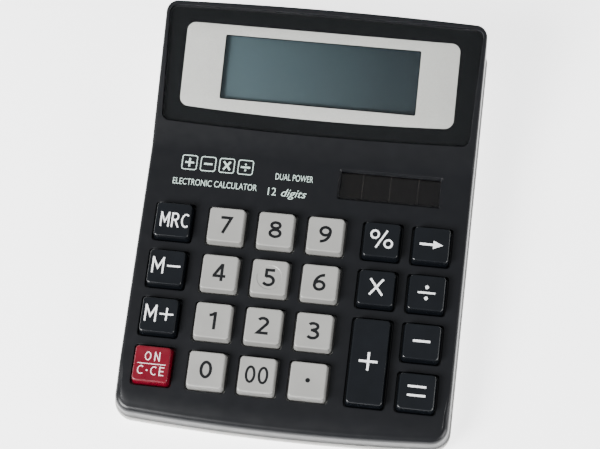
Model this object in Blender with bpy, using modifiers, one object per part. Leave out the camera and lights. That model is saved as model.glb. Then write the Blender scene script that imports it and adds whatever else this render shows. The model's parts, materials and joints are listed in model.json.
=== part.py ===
"""Desk calculator with a raised, tilted display: 23 travelling keys, two case halves and the works inside.

Run it with   blender --background --python part.py   or from Blender's text editor.
Axes: +X to the user's right, +Y from the user towards the display, +Z up.
Origin: on the table, under the middle of the calculator.
"""

import math

import bmesh
import bpy
from mathutils import Matrix, Vector

MM = 0.001

# ---- driving sizes -----------------------------------------------------------------------------
LENGTH = 149 * MM                       # over the lower case, front to back
HALF_WIDTH_FRONT = 56.7 * MM            # upper case, at its front corners
HALF_WIDTH_REAR = 57.2 * MM             # upper case, at its rear corners
RIM_STEP = 0.5 * MM                     # the lower case stands proud of the upper one by this
KEYPAD_SLOPE = math.radians(5)
DISPLAY_SLOPE = math.radians(17)
FRONT_HEIGHT = 12 * MM                  # keypad plane above the table, carried on to the front edge
KEYPAD_LENGTH = 98.15 * MM              # front edge to the bend, along the keypad plane
BLEND = 6 * MM                          # half the length of the hollow curve at the bend
FRONT_BOW = 2.2 * MM                    # how far the front edge bows out
REAR_BOW = 1.0 * MM
FRONT_CORNER = 7.5 * MM
REAR_CORNER = 4.5 * MM
FRONT_ROLL = 6 * MM                     # rounding of the front edge
SIDE_ROLL = 2.6 * MM
ROLL_RUN_OUT = 12 * MM                  # along the sides, from the front rounding to the side's
REAR_ROLL = 2.0 * MM
INNER_ROLL = 0.4 * MM                   # least rounding of the case's inner corners
DRAFT = 0.4 * MM                        # the upper case's wall leans in by this, parting line to rounding
WALL = 1.6 * MM
GAP = 0.3 * MM                          # between neighbours that touch or nearly touch
FILM_GAP = 0.1 * MM                     # between stacked flat sheets

# ---- case halves -------------------------------------------------------------------------------
FOOT_HEIGHT = 1 * MM                    # lower case above the table
SPLIT_FRONT = 4.6 * MM                  # height of the parting line at the front edge
SPLIT_SLOPE = math.radians(3)
BASE_ROLL = 2.2 * MM

# ---- keypad ------------------------------------------------------------------------------------
ROW_PITCH = 17 * MM
FRONT_ROW = 18.15 * MM                  # front edge to the middle of the front row of keys
COLUMNS = [x * MM for x in (-44.6, -26.1, -8.9, 8.3, 27.6, 44.6)]
KEY_BASE = 13.2 * MM                    # cap at its foot
KEY_DRAFT = 0.6 * MM                    # each side leans in by this, foot to top
KEY_RISE = 3.2 * MM                     # cap above the case
KEY_CORNER = 1.2 * MM
KEY_EDGE = 0.45 * MM                    # bevel round the cap's top
KEY_FLANGE = 14.5 * MM
KEY_FLANGE_THICKNESS = 0.8 * MM
KEY_STEM = 5 * MM
KEY_STEM_LENGTH = 0.8 * MM
OPENING = 13.9 * MM
OPENING_CORNER = 1.1 * MM

# One name per column, rear row first. The tall key reaches over the row in front of it.
KEY_ROWS = [
    ("memory_recall", "7", "8", "9", "percent", "backspace"),
    ("memory_minus", "4", "5", "6", "multiply", "divide"),
    ("memory_plus", "1", "2", "3", "plus", "minus"),
    ("on_clear", "0", "00", "point", None, "equals"),
]
DIGIT_COLUMNS = (1, 2, 3)
TALL_KEY = "plus"
RED_KEY = "on_clear"

# ---- works under the keypad, as heights below the case surface ---------------------------------
FLANGE_TOP = -(WALL + GAP)
FLANGE_BOTTOM = FLANGE_TOP - KEY_FLANGE_THICKNESS
STEM_TIP = FLANGE_BOTTOM - KEY_STEM_LENGTH
DOME_TOP = STEM_TIP - GAP
MAT_TOP = DOME_TOP - 1.4 * MM
MAT_BOTTOM = MAT_TOP - 0.8 * MM
BOARD_TOP = MAT_BOTTOM - GAP
BOARD_BOTTOM = BOARD_TOP - 1.2 * MM
BOARD_FRONT, BOARD_REAR = 11 * MM, 82 * MM
BOARD_HALF_WIDTH = 52 * MM
MAT_FRONT, MAT_REAR = 12 * MM, 78 * MM
DOME_FOOT_RADIUS, DOME_RADIUS = 4.4 * MM, 3 * MM
BOARD_BOSS_RADIUS = 1.7 * MM
BOARD_PILOT_RADIUS = 1.05 * MM
BOARD_SCREW_TIP = -3.4 * MM
CHIP_COVER = (-5 * MM, 56 * MM, 8 * MM, 2 * MM)     # x, distance from the front edge, radius, depth
CAPACITOR = (30 * MM, 62 * MM, 2.5 * MM, 4.1 * MM)  # the same
BOARD_BOSSES = [(x, FRONT_ROW + row * ROW_PITCH)
                for x in (-35.35 * MM, 17.95 * MM) for row in (0.5, 2.5)]

# ---- display, in the display plane, measured up from the bend ----------------------------------
LENS_BOTTOM, LENS_TOP = 8.3 * MM, 49.1 * MM      # at the corners
LENS_BOTTOM_BOW, LENS_TOP_BOW = 1.2 * MM, 0.7 * MM
LENS_HALF_BOTTOM, LENS_HALF_TOP = 54.0 * MM, 55.3 * MM
LENS_SUNK = 0.3 * MM
LENS_THICKNESS = 1.5 * MM
LENS_SLACK = 0.25 * MM                  # round the lens, in its pocket
TRAY_MARGIN = 0.5 * MM                  # the tray under the lens runs this far into the case's walls
MASK_THICKNESS = 0.2 * MM
LCD_WINDOW = (-34.4 * MM, 34.1 * MM, 17.8 * MM, 40.0 * MM)   # left, right, bottom, top
LENS_BACK = -(LENS_SUNK + LENS_THICKNESS)
MASK_TOP = LENS_BACK - FILM_GAP
POCKET_FLOOR = MASK_TOP - MASK_THICKNESS - FILM_GAP
TRAY_BOTTOM = POCKET_FLOOR - 1.6 * MM
LCD_TOP = TRAY_BOTTOM - FILM_GAP
LCD_THICKNESS = 2 * MM
LCD_MARGIN = 4 * MM                     # glass beyond the window on each side
LCD_OPENING_MARGIN = 1 * MM             # the tray's opening beyond the window, and the foil behind it
FOIL_THICKNESS = 0.2 * MM
RETAINER_THICKNESS = 1.6 * MM
RIBBON_WIDTH = 48 * MM
RIBBON_THICKNESS = 0.25 * MM
RIBBON_OVERLAP = 1.5 * MM               # on the board's rear edge

# ---- solar cell, in the keypad plane -----------------------------------------------------------
SOLAR_CENTRE = (28.4 * MM, 88.8 * MM)
SOLAR_OPENING = (36.1 * MM, 11.3 * MM)
SOLAR_LIP = 1.2 * MM                    # glass beyond the opening on each side
SOLAR_WINDOW_THICKNESS = 0.8 * MM
SOLAR_CELL_THICKNESS = 1.1 * MM

# ---- battery, under the display ----------------------------------------------------------------
CELL_RADIUS, CELL_HEIGHT = 5.8 * MM, 5.4 * MM
CELL_SLACK = 0.4 * MM                   # between the cell and its pocket
WELL_CENTRE = (0.0, 38 * MM)
WELL_SIZE = (29 * MM, 25 * MM)
WELL_TOP = 10.2 * MM
WELL_ROOF = 1 * MM
COVER_SIZE = (22 * MM, 19 * MM)
COVER_THICKNESS = 1.3 * MM
COVER_SLACK = 0.35 * MM
COVER_SEAT = FOOT_HEIGHT + COVER_THICKNESS + 0.1 * MM
HOOK_XS = (-7 * MM, 7 * MM)
HOOK_HALF_WIDTH = 1.5 * MM
HOOK_REACH = 1.5 * MM
HOOK_NECK = 1.4 * MM                    # the hook's upright, from the cover's rear edge forward
HOOK_SWING = 1.1 * MM                   # room ahead of the upright, for when the cover swings open
HOOK_BOTTOM, HOOK_TOP = FOOT_HEIGHT + 1.65 * MM, FOOT_HEIGHT + 2.35 * MM
LATCH_HALF_WIDTH = 3 * MM
LATCH_TOP = FOOT_HEIGHT + 3.4 * MM
CONTACT_HALF_WIDTH = 1.9 * MM
LEAF_THICKNESS = 0.3 * MM
TAIL_RISE = 1.6 * MM                    # the contacts' tails above the well

# ---- fasteners and feet ------------------------------------------------------------------------
CASE_PILOT_RADIUS = 1.3 * MM
CASE_POST_RADIUS = 3.4 * MM
CASE_BOSS_RADIUS = 2.7 * MM
COUNTERBORE_RADIUS = 2.4 * MM
TOP_FRONT = -LENGTH / 2 + RIM_STEP
TOP_REAR = LENGTH / 2 - RIM_STEP
BEND_Y = TOP_FRONT + KEYPAD_LENGTH * math.cos(KEYPAD_SLOPE)
BEND_Z = FRONT_HEIGHT + KEYPAD_LENGTH * math.sin(KEYPAD_SLOPE)

# Each case screw's x, y, and the heights of its head's seat, its post's top and its tip.
CASE_SCREWS = [
    (side * x * MM, y, seat * MM, split * MM, tip * MM)
    for side in (-1, 1)
    for x, y, seat, split, tip in ((46, TOP_FRONT + 7.7 * MM, 3.2, 6.6, 9.6),
                                   (51.2, BEND_Y + 1.2 * MM, 5.4, 10, 16),
                                   (49, TOP_REAR - 11.5 * MM, 7.5, 14, 22))
]
FEET = [(side * 45 * MM, y * MM) for side in (-1, 1) for y in (-54, 54)]
FOOT_RADIUS = 4 * MM
FOOT_SUNK = 0.6 * MM


# ---- scene and materials -----------------------------------------------------------------------
def clear_scene():
    for old in list(bpy.data.objects):
        bpy.data.objects.remove(old)


def new_collection(name):
    collection = bpy.data.collections.new(name)
    bpy.context.scene.collection.children.link(collection)
    return collection


def principled(name, colour, roughness, metallic=0.0):
    material = bpy.data.materials.new(name)
    material.use_nodes = True
    shader = material.node_tree.nodes["Principled BSDF"]
    shader.inputs["Base Color"].default_value = (*colour, 1.0)
    shader.inputs["Roughness"].default_value = roughness
    shader.inputs["Metallic"].default_value = metallic
    material.diffuse_color = (*colour, 1.0)
    return material


def make_materials():
    return {
        "black_case": principled("black_case", (0.022, 0.024, 0.027), 0.42),
        "grey_case": principled("grey_case", (0.62, 0.61, 0.58), 0.5),
        "black_key": principled("black_key", (0.012, 0.013, 0.016), 0.32),
        "grey_key": principled("grey_key", (0.56, 0.56, 0.53), 0.4),
        "red_key": principled("red_key", (0.55, 0.02, 0.05), 0.35),
        "lens": principled("lens", (0.01, 0.01, 0.012), 0.05),
        "silver_print": principled("silver_print", (0.58, 0.58, 0.55), 0.5),
        "lcd_glass": principled("lcd_glass", (0.13, 0.17, 0.18), 0.2),
        "foil": principled("foil", (0.7, 0.7, 0.7), 0.3, 1.0),
        "solar": principled("solar", (0.012, 0.009, 0.008), 0.15),
        "white_plastic": principled("white_plastic", (0.7, 0.7, 0.68), 0.5),
        "board": principled("board", (0.05, 0.2, 0.07), 0.45),
        "epoxy": principled("epoxy", (0.01, 0.01, 0.01), 0.3),
        "rubber": principled("rubber", (0.35, 0.36, 0.36), 0.8),
        "foot_rubber": principled("foot_rubber", (0.02, 0.02, 0.02), 0.85),
        "steel": principled("steel", (0.55, 0.55, 0.56), 0.3, 1.0),
        "red_wire": principled("red_wire", (0.5, 0.02, 0.02), 0.45),
        "black_wire": principled("black_wire", (0.015, 0.015, 0.015), 0.45),
        "ribbon": principled("ribbon", (0.5, 0.35, 0.12), 0.4),
    }


# ---- shaping helpers ---------------------------------------------------------------------------
def place(name, data, parent=None, material=None):
    obj = bpy.data.objects.new(name, data)
    PARTS.objects.link(obj)
    obj.parent = parent
    if material:
        obj.data.materials.append(MATERIALS[material])
    return obj


def as_cutter(obj):
    """Moves a helper out of the model: it only shapes other objects."""
    PARTS.objects.unlink(obj)
    CUTTERS.objects.link(obj)
    obj.hide_render = True
    obj.display_type = "WIRE"
    return obj


def boolean(obj, other, operation):
    modifier = obj.modifiers.new(other.name, "BOOLEAN")
    modifier.operation = operation
    modifier.object = as_cutter(other)


def cut(obj, *others):
    for other in others:
        boolean(obj, other, "DIFFERENCE")


def join(obj, *others):
    for other in others:
        boolean(obj, other, "UNION")


def mesh_from(build):
    """A mesh from a function that fills a bmesh, with its faces pointing out."""
    bm = bmesh.new()
    build(bm)
    bmesh.ops.recalc_face_normals(bm, faces=bm.faces)
    mesh = bpy.data.meshes.new("shape")
    bm.to_mesh(mesh)
    bm.free()
    return mesh


def box(name, low, high, parent=None, material=None):
    """A block from its lowest to its highest corner."""
    low, high = Vector(low), Vector(high)

    def build(bm):
        size = Matrix.Diagonal((*(high - low), 1))
        bmesh.ops.create_cube(bm, size=1, matrix=Matrix.Translation((low + high) / 2) @ size)

    return place(name, mesh_from(build), parent, material)


def rod(name, centre, bottom, top, radius, parent=None, material=None, sides=12):
    """An upright cylinder."""
    def build(bm):
        middle = Matrix.Translation((*centre, (bottom + top) / 2))
        bmesh.ops.create_cone(bm, cap_ends=True, segments=sides, radius1=radius, radius2=radius,
                              depth=top - bottom, matrix=middle)

    return place(name, mesh_from(build), parent, material)


def turned(name, profile, location, parent=None, material=None, sides=12):
    """A turned piece: its profile of (radius, height) points runs down the outer side."""
    mesh = bpy.data.meshes.new("profile")
    edges = [(i, i + 1) for i in range(len(profile) - 1)]
    mesh.from_pydata([(radius, 0, height) for radius, height in profile], edges, [])
    obj = place(name, mesh, parent, material)
    obj.location = location
    screw = obj.modifiers.new("turn", "SCREW")
    screw.steps = screw.render_steps = sides
    screw.use_merge_vertices = True
    screw.merge_threshold = 0.00001
    return obj


def plate(name, outlines, bottom, top, parent=None, material=None):
    """A flat piece: closed outlines of (x, y) points, inner ones being holes, between two heights."""
    curve = bpy.data.curves.new("outline", "CURVE")
    curve.dimensions = "2D"
    curve.fill_mode = "BOTH"
    curve.extrude = (top - bottom) / 2
    for outline in outlines:
        spline = curve.splines.new("POLY")
        spline.points.add(len(outline) - 1)
        spline.use_cyclic_u = True
        for point, (x, y) in zip(spline.points, outline):
            point.co = (x, y, 0, 1)
    drawn = bpy.data.objects.new("outline", curve)
    CUTTERS.objects.link(drawn)
    mesh = welded_mesh(drawn)
    mesh.transform(Matrix.Translation((0, 0, (bottom + top) / 2)))
    return place(name, mesh, parent, material)


def welded_mesh(obj):
    """The object's evaluated shape as one closed mesh; the object itself is removed."""
    bpy.context.view_layer.update()
    graph = bpy.context.evaluated_depsgraph_get()
    mesh = bpy.data.meshes.new_from_object(obj.evaluated_get(graph))
    bpy.data.objects.remove(obj)
    bm = bmesh.new()
    bm.from_mesh(mesh)
    bmesh.ops.remove_doubles(bm, verts=bm.verts, dist=1e-6)
    bmesh.ops.recalc_face_normals(bm, faces=bm.faces)
    bm.to_mesh(mesh)
    bm.free()
    return mesh


def wire(name, points, radius, material):
    """A round wire through world points, smoothed where it turns."""
    curve = bpy.data.curves.new(name, "CURVE")
    curve.dimensions = "3D"
    curve.bevel_depth = radius
    curve.bevel_resolution = 1
    curve.use_fill_caps = True
    path = smoothed([Vector(point) for point in points])
    spline = curve.splines.new("POLY")
    spline.points.add(len(path) - 1)
    for point, position in zip(spline.points, path):
        point.co = (*position, 1)
    return place(name, curve, None, material)


def smoothed(points, steps=4):
    """Points along a Catmull-Rom curve through the given ones."""
    ends = [2 * points[0] - points[1], *points, 2 * points[-1] - points[-2]]
    path = []
    for a, b, c, d in zip(ends, ends[1:], ends[2:], ends[3:]):
        for step in range(steps):
            t = step / steps
            path.append((b * 2 + (c - a) * t + (a * 2 - b * 5 + c * 4 - d) * t ** 2
                         + (b * 3 - a - c * 3 + d) * t ** 3) / 2)
    return [*path, points[-1]]


def rounded_rectangle(left, right, bottom, top, radius, steps=2):
    corners = ((right - radius, bottom + radius, -90), (right - radius, top - radius, 0),
               (left + radius, top - radius, 90), (left + radius, bottom + radius, 180))
    points = []
    for x, y, start in corners:
        for step in range(steps + 1):
            angle = math.radians(start + 90 * step / steps)
            points.append((x + radius * math.cos(angle), y + radius * math.sin(angle)))
    return points


def circle(centre, radius, sides=12):
    return [(centre[0] + radius * math.cos(2 * math.pi * i / sides),
             centre[1] + radius * math.sin(2 * math.pi * i / sides)) for i in range(sides)]


# ---- the case's outer surface ------------------------------------------------------------------
def surface_height(y):
    """Height of the upper case's top: keypad plane, hollow parabolic blend, display plane."""
    along = y - BEND_Y
    keypad = BEND_Z + along * math.tan(KEYPAD_SLOPE)
    turn = math.tan(DISPLAY_SLOPE) - math.tan(KEYPAD_SLOPE)
    if along <= -BLEND:
        return keypad
    if along >= BLEND:
        return keypad + along * turn
    return keypad + turn * (along + BLEND) ** 2 / (4 * BLEND)


def split_height(y):
    return SPLIT_FRONT + (y + LENGTH / 2) * math.tan(SPLIT_SLOPE)


def half_width(y):
    share = (y - TOP_FRONT) / (TOP_REAR - TOP_FRONT)
    return HALF_WIDTH_FRONT + share * (HALF_WIDTH_REAR - HALF_WIDTH_FRONT)


def corner_points(x, y, radius, start, end, steps):
    """(position, outward direction) round a corner, between two angles in degrees."""
    for step in range(steps + 1):
        angle = math.radians(start + (end - start) * step / steps)
        out = Vector((math.cos(angle), math.sin(angle)))
        yield Vector((x, y)) + radius * out, out


def case_outline():
    """The right half of the upper case's outline at the parting line, front to back.

    Each station is (position, outward direction, rounding of the top edge there)."""
    stations = []
    front_x = HALF_WIDTH_FRONT - FRONT_CORNER
    rear_x = HALF_WIDTH_REAR - REAR_CORNER
    for step in range(4):
        share = step / 4
        lean = 2 * FRONT_BOW * share * front_x / HALF_WIDTH_FRONT ** 2
        bow = FRONT_BOW * (share * front_x / HALF_WIDTH_FRONT) ** 2
        position = Vector((share * front_x, TOP_FRONT + bow))
        stations.append((position, Vector((lean, -1)).normalized(), FRONT_ROLL))
    front_y = TOP_FRONT + FRONT_BOW * (front_x / HALF_WIDTH_FRONT) ** 2 + FRONT_CORNER
    for position, out in corner_points(front_x, front_y, FRONT_CORNER, -86, 0, 5):
        stations.append((position, out, FRONT_ROLL))
    for share in (0.3, 0.65, 1):        # the front edge's large rounding dies out along the side
        y = front_y + ROLL_RUN_OUT * share
        roll = FRONT_ROLL + (SIDE_ROLL - FRONT_ROLL) * share * (2 - share)
        stations.append((Vector((half_width(y), y)), Vector((1, 0)), roll))
    blend_stations = [BEND_Y + BLEND * share for share in (-1, -0.6, -0.2, 0.2, 0.6, 1)]
    for y in blend_stations:
        roll = SIDE_ROLL if y < BEND_Y else REAR_ROLL
        stations.append((Vector((half_width(y), y)), Vector((1, 0)), roll))
    rear_y = TOP_REAR - REAR_BOW * (rear_x / HALF_WIDTH_REAR) ** 2 - REAR_CORNER
    for position, out in corner_points(rear_x, rear_y, REAR_CORNER, 0, 88, 4):
        stations.append((position, out, REAR_ROLL))
    for step in range(1, 4):
        share = 1 - step / 3
        x = share * rear_x
        y = TOP_REAR - REAR_BOW * (x / HALF_WIDTH_REAR) ** 2
        stations.append((Vector((x, y)), Vector((0, 1)), REAR_ROLL))
    return stations


def shell(name, outer, inner, material):
    """One half of a hollow case, mirrored: an outer and an inner skin, each a list of rings from cap to rim.

    The skins meet along their rims. Each one's first ring is closed by strips that run across to the middle.
    """
    def build(bm):
        skins = [[[bm.verts.new(point) for point in ring] for ring in rings] for rings in (outer, inner)]
        rows = [*skins[0], *reversed(skins[1])]
        for upper, lower in zip(rows, rows[1:]):
            for i in range(len(upper) - 1):
                bm.faces.new((upper[i], upper[i + 1], lower[i + 1], lower[i]))
        for cap in (skins[0][0], skins[1][0]):
            middle = [cap[0], *[bm.verts.new((0, v.co.y, v.co.z)) for v in cap[1:-1]], cap[-1]]
            for i in range(len(cap) - 1):
                bm.faces.new(dict.fromkeys((middle[i], cap[i], cap[i + 1], middle[i + 1])))

    obj = place(name, mesh_from(build), None, material)
    mirror = obj.modifiers.new("other_half", "MIRROR")
    mirror.merge_threshold = 0.00001
    return obj


# ---- upper case --------------------------------------------------------------------------------
def top_skin(wall):
    """Rings of the upper case's skin, this far inside its outer surface, from the cap down to the rim."""
    rings = []
    for angle in (90, 60, 30, 0):
        ring = []
        for position, out, roll in case_outline():
            radius = max(roll - wall, INNER_ROLL)
            x, y = position - out * (DRAFT + wall + radius * (1 - math.cos(math.radians(angle))))
            drop = wall + radius * (1 - math.sin(math.radians(angle)))
            ring.append((max(x, 0), y, surface_height(y) - drop))
        rings.append(ring)
    edge = [position - out * wall for position, out, _ in case_outline()]
    rings.append([(max(x, 0), y, split_height(y) + GAP / 2) for x, y in edge])
    return rings


def make_top_case():
    case = shell("top_case", top_skin(0), top_skin(WALL), "black_case")
    tray = lens_outline(margin=TRAY_MARGIN)
    join(case, plate("display_tray", [tray], TRAY_BOTTOM, -WALL / 2, DISPLAY))
    join(case, *[case_boss(x, y, split) for x, y, _, split, _ in CASE_SCREWS])
    join(case, *[rod("board_boss", centre, BOARD_TOP + GAP, -WALL / 2, BOARD_BOSS_RADIUS, KEYPAD)
                 for centre in BOARD_BOSSES])
    openings = [key_opening(column, row, rows) for _, column, row, rows, _ in keys()]
    cut(case, plate("key_openings", openings, -3 * WALL, 3 * WALL, KEYPAD))
    x, y = SOLAR_CENTRE
    w, h = SOLAR_OPENING
    cut(case, box("solar_opening", (x - w / 2, y - h / 2, -2 * WALL), (x + w / 2, y + h / 2, WALL), KEYPAD))
    cut(case, plate("lens_pocket", [lens_outline(margin=LENS_SLACK)], POCKET_FLOOR, 4 * MM, DISPLAY))
    cut(case, lcd_block("lcd_opening", LCD_OPENING_MARGIN, 2 * TRAY_BOTTOM, 0))
    cut(case, *[rod("case_pilot", (x, y), split, tip + GAP, CASE_PILOT_RADIUS, sides=8)
                for x, y, _, split, tip in CASE_SCREWS])
    cut(case, *[rod("board_pilot", centre, BOARD_TOP, BOARD_SCREW_TIP + GAP, BOARD_PILOT_RADIUS, KEYPAD, sides=8)
                for centre in BOARD_BOSSES])


def case_boss(x, y, split):
    top = surface_height(y) - WALL / 2
    if y > BEND_Y + BLEND:              # under the display tray, which is lower than the ceiling
        top += (TRAY_BOTTOM + WALL) / math.cos(DISPLAY_SLOPE)
    return rod("case_boss", (x, y), split + GAP, top, CASE_BOSS_RADIUS)


def key_middle(column, row, rows):
    """Centre of a key that spans some rows, counted up from its front row."""
    return COLUMNS[column], FRONT_ROW + (row + (rows - 1) / 2) * ROW_PITCH


def key_opening(column, row, rows):
    x, y = key_middle(column, row, rows)
    half, tall = OPENING / 2, (OPENING + (rows - 1) * ROW_PITCH) / 2
    return rounded_rectangle(x - half, x + half, y - tall, y + tall, OPENING_CORNER, 1)


def lens_outline(margin=0.0, steps=6, radius=1.6 * MM):
    """The display lens: straight leaning sides, bowed top and bottom edges, small round corners."""
    points = []
    for edge, bow, half, sign in ((LENS_BOTTOM - margin, LENS_BOTTOM_BOW, LENS_HALF_BOTTOM + margin, 1),
                                  (LENS_TOP + margin, LENS_TOP_BOW, LENS_HALF_TOP + margin, -1)):
        points.append((-sign * half, edge + sign * radius))
        for step in range(steps + 1):
            x = sign * (half - radius) * (2 * step / steps - 1)
            points.append((x, edge - sign * bow * (1 - (x / half) ** 2)))
        points.append((sign * half, edge + sign * radius))
    return points


# ---- keys --------------------------------------------------------------------------------------
def keys():
    """Every key as (name, column, its front row, rows spanned, finish)."""
    for back, names in enumerate(KEY_ROWS):
        for column, name in enumerate(names):
            if name is None:
                continue
            rows = 2 if name == TALL_KEY else 1
            finish = "grey_key" if column in DIGIT_COLUMNS else "black_key"
            if name == RED_KEY:
                finish = "red_key"
            yield "key_" + name, column, len(KEY_ROWS) - back - rows, rows, finish


def key_mesh(rows):
    """A tapered cap with rounded edges, on a flange with a stem below."""
    extra = (rows - 1) * ROW_PITCH
    foot = (FLANGE_TOP + FLANGE_BOTTOM) / 2

    def build_cap(bm):
        size = Matrix.Diagonal((KEY_BASE, KEY_BASE + extra, KEY_RISE - foot, 1))
        bmesh.ops.create_cube(bm, size=1, matrix=Matrix.Translation((0, 0, (KEY_RISE + foot) / 2)) @ size)
        for vert in bm.verts:
            if vert.co.z > 0:
                vert.co.x -= math.copysign(KEY_DRAFT, vert.co.x)
                vert.co.y -= math.copysign(KEY_DRAFT, vert.co.y)
        uprights = [edge for edge in bm.edges if edge.verts[0].co.z * edge.verts[1].co.z < 0]
        bmesh.ops.bevel(bm, geom=uprights, offset=KEY_CORNER, segments=2, profile=0.5, affect="EDGES")
        rim = [edge for edge in bm.edges if min(vert.co.z for vert in edge.verts) > 0]
        bmesh.ops.bevel(bm, geom=rim, offset=KEY_EDGE, segments=1, profile=0.5, affect="EDGES")

    cap = place("cap", mesh_from(build_cap))
    wide, tall, stem = KEY_FLANGE / 2, (KEY_FLANGE + extra) / 2, KEY_STEM / 2
    join(cap, box("flange", (-wide, -tall, FLANGE_BOTTOM), (wide, tall, FLANGE_TOP)))
    join(cap, box("stem", (-stem, -stem, STEM_TIP), (stem, stem, foot)))
    return welded_mesh(cap)


def make_keys():
    shapes = {rows: key_mesh(rows) for rows in (1, 2)}
    for name, column, row, rows, finish in keys():
        key = place(name, shapes[rows].copy(), KEYPAD, finish)
        key.location = (*key_middle(column, row, rows), 0)


# ---- rubber mat and board ----------------------------------------------------------------------
def make_key_mat():
    half = BOARD_HALF_WIDTH
    sheet = [rounded_rectangle(-half, half, MAT_FRONT, MAT_REAR, 2 * MM)]
    mat = plate("key_mat", sheet + [circle(c, BOARD_BOSS_RADIUS + GAP, 8) for c in BOARD_BOSSES],
                MAT_BOTTOM, MAT_TOP, KEYPAD, "rubber")
    domes = bpy.data.meshes.new("domes")
    bm = bmesh.new()
    for _, column, row, rows, _ in keys():
        middle = Matrix.Translation((*key_middle(column, row, rows), (MAT_TOP + DOME_TOP) / 2 - FILM_GAP))
        bmesh.ops.create_cone(bm, cap_ends=True, segments=10, radius1=DOME_FOOT_RADIUS, radius2=DOME_RADIUS,
                              depth=DOME_TOP - MAT_TOP + 2 * FILM_GAP, matrix=middle)
    bm.to_mesh(domes)
    bm.free()
    join(mat, place("domes", domes, KEYPAD))


def make_board():
    half = BOARD_HALF_WIDTH
    holes = [circle(centre, 1.2 * MM, 8) for centre in BOARD_BOSSES]
    plate("main_board", [rounded_rectangle(-half, half, BOARD_FRONT, BOARD_REAR, 1 * MM, 1)] + holes,
          BOARD_BOTTOM, BOARD_TOP, KEYPAD, "board")
    under = BOARD_BOTTOM - FILM_GAP
    for index, centre in enumerate(BOARD_BOSSES, 1):
        screw(f"board_screw_{index}", (*centre, under), 1.8 * MM, 1.0 * MM, 0.8 * MM, BOARD_SCREW_TIP - under,
              KEYPAD)
    x, y, radius, depth = CHIP_COVER
    dome = [(radius * math.cos(angle), depth * math.sin(angle))
            for angle in (0, -math.pi / 6, -math.pi / 3, -math.pi / 2)]
    turned("chip_cover", [(0, 0), *dome], (x, y, under), KEYPAD, "epoxy", 16)
    x, y, radius, depth = CAPACITOR
    rod("board_capacitor", (x, y), under - depth, under, radius, parent=KEYPAD, material="epoxy")


def screw(name, seat, head_radius, head_height, shank_radius, length, parent=None):
    """A pan-head screw pointing up: the seat is the middle of the head's bearing face."""
    profile = [(0, length), (shank_radius * 0.5, length), (shank_radius, length - shank_radius),
               (shank_radius, 0), (head_radius, 0), (head_radius, -head_height * 0.6),
               (head_radius * 0.75, -head_height), (0, -head_height)]
    return turned(name, profile, seat, parent, "steel")


# ---- display -----------------------------------------------------------------------------------
def lcd_block(name, margin, bottom, top, material=None):
    """A block as large as the LCD window plus a margin, between two heights in the display plane."""
    left, right, low, high = LCD_WINDOW
    corners = (left - margin, low - margin, bottom), (right + margin, high + margin, top)
    return box(name, *corners, DISPLAY, material)


def lcd_rectangle(margin, radius):
    left, right, bottom, top = LCD_WINDOW
    return rounded_rectangle(left - margin, right + margin, bottom - margin, top + margin, radius, 1)


def make_display():
    plate("display_lens", [lens_outline()], LENS_BACK, -LENS_SUNK, DISPLAY, "lens")
    mask = [lens_outline(margin=-GAP), lcd_rectangle(0, 0.6 * MM)]
    plate("display_mask", mask, MASK_TOP - MASK_THICKNESS, MASK_TOP, DISPLAY, "silver_print")
    back = LCD_TOP - LCD_THICKNESS
    lcd_block("lcd_panel", LCD_MARGIN, back, LCD_TOP, "lcd_glass")
    foil = back - FILM_GAP - FOIL_THICKNESS
    lcd_block("lcd_reflector", LCD_OPENING_MARGIN, foil, back - FILM_GAP, "foil")
    frame = [lcd_rectangle(LCD_MARGIN + 1 * MM, 1 * MM), lcd_rectangle(-LCD_MARGIN, 1 * MM)]
    top = foil - FILM_GAP
    plate("lcd_retainer", frame, top - RETAINER_THICKNESS, top, DISPLAY, "white_plastic")


def make_ribbon():
    """The flat flexible strip from the glass's lower edge to the board's rear edge, drawn from the side."""
    glass_edge = LCD_WINDOW[2] - LCD_MARGIN - GAP
    at_glass = DISPLAY.matrix_world @ Vector((0, glass_edge, LCD_TOP - LCD_THICKNESS / 2))
    at_board = KEYPAD.matrix_world @ Vector((0, BOARD_REAR - RIBBON_OVERLAP, BOARD_TOP + RIBBON_THICKNESS))
    start, end = Vector(at_glass.yz), Vector(at_board.yz)
    along = Vector((math.cos(KEYPAD_SLOPE), math.sin(KEYPAD_SLOPE)))
    sag = end + Vector((6, 1.4)) * MM
    line = [start, start - 2.5 * MM * along, sag, end + 3 * MM * along, end]
    middle = smoothed([point.to_3d() for point in line], 3)
    sides = []
    for i, point in enumerate(middle):
        ahead = middle[min(i + 1, len(middle) - 1)] - middle[max(i - 1, 0)]
        sides.append((point.xy, Vector((-ahead.y, ahead.x)).normalized() * RIBBON_THICKNESS / 2))
    outline = [p + n for p, n in sides] + [p - n for p, n in reversed(sides)]
    ribbon = plate("lcd_ribbon", [outline], -RIBBON_WIDTH / 2, RIBBON_WIDTH / 2, None, "ribbon")
    ribbon.matrix_world = Matrix(((0, 0, 1, 0), (1, 0, 0, 0), (0, 1, 0, 0), (0, 0, 0, 1)))


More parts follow.
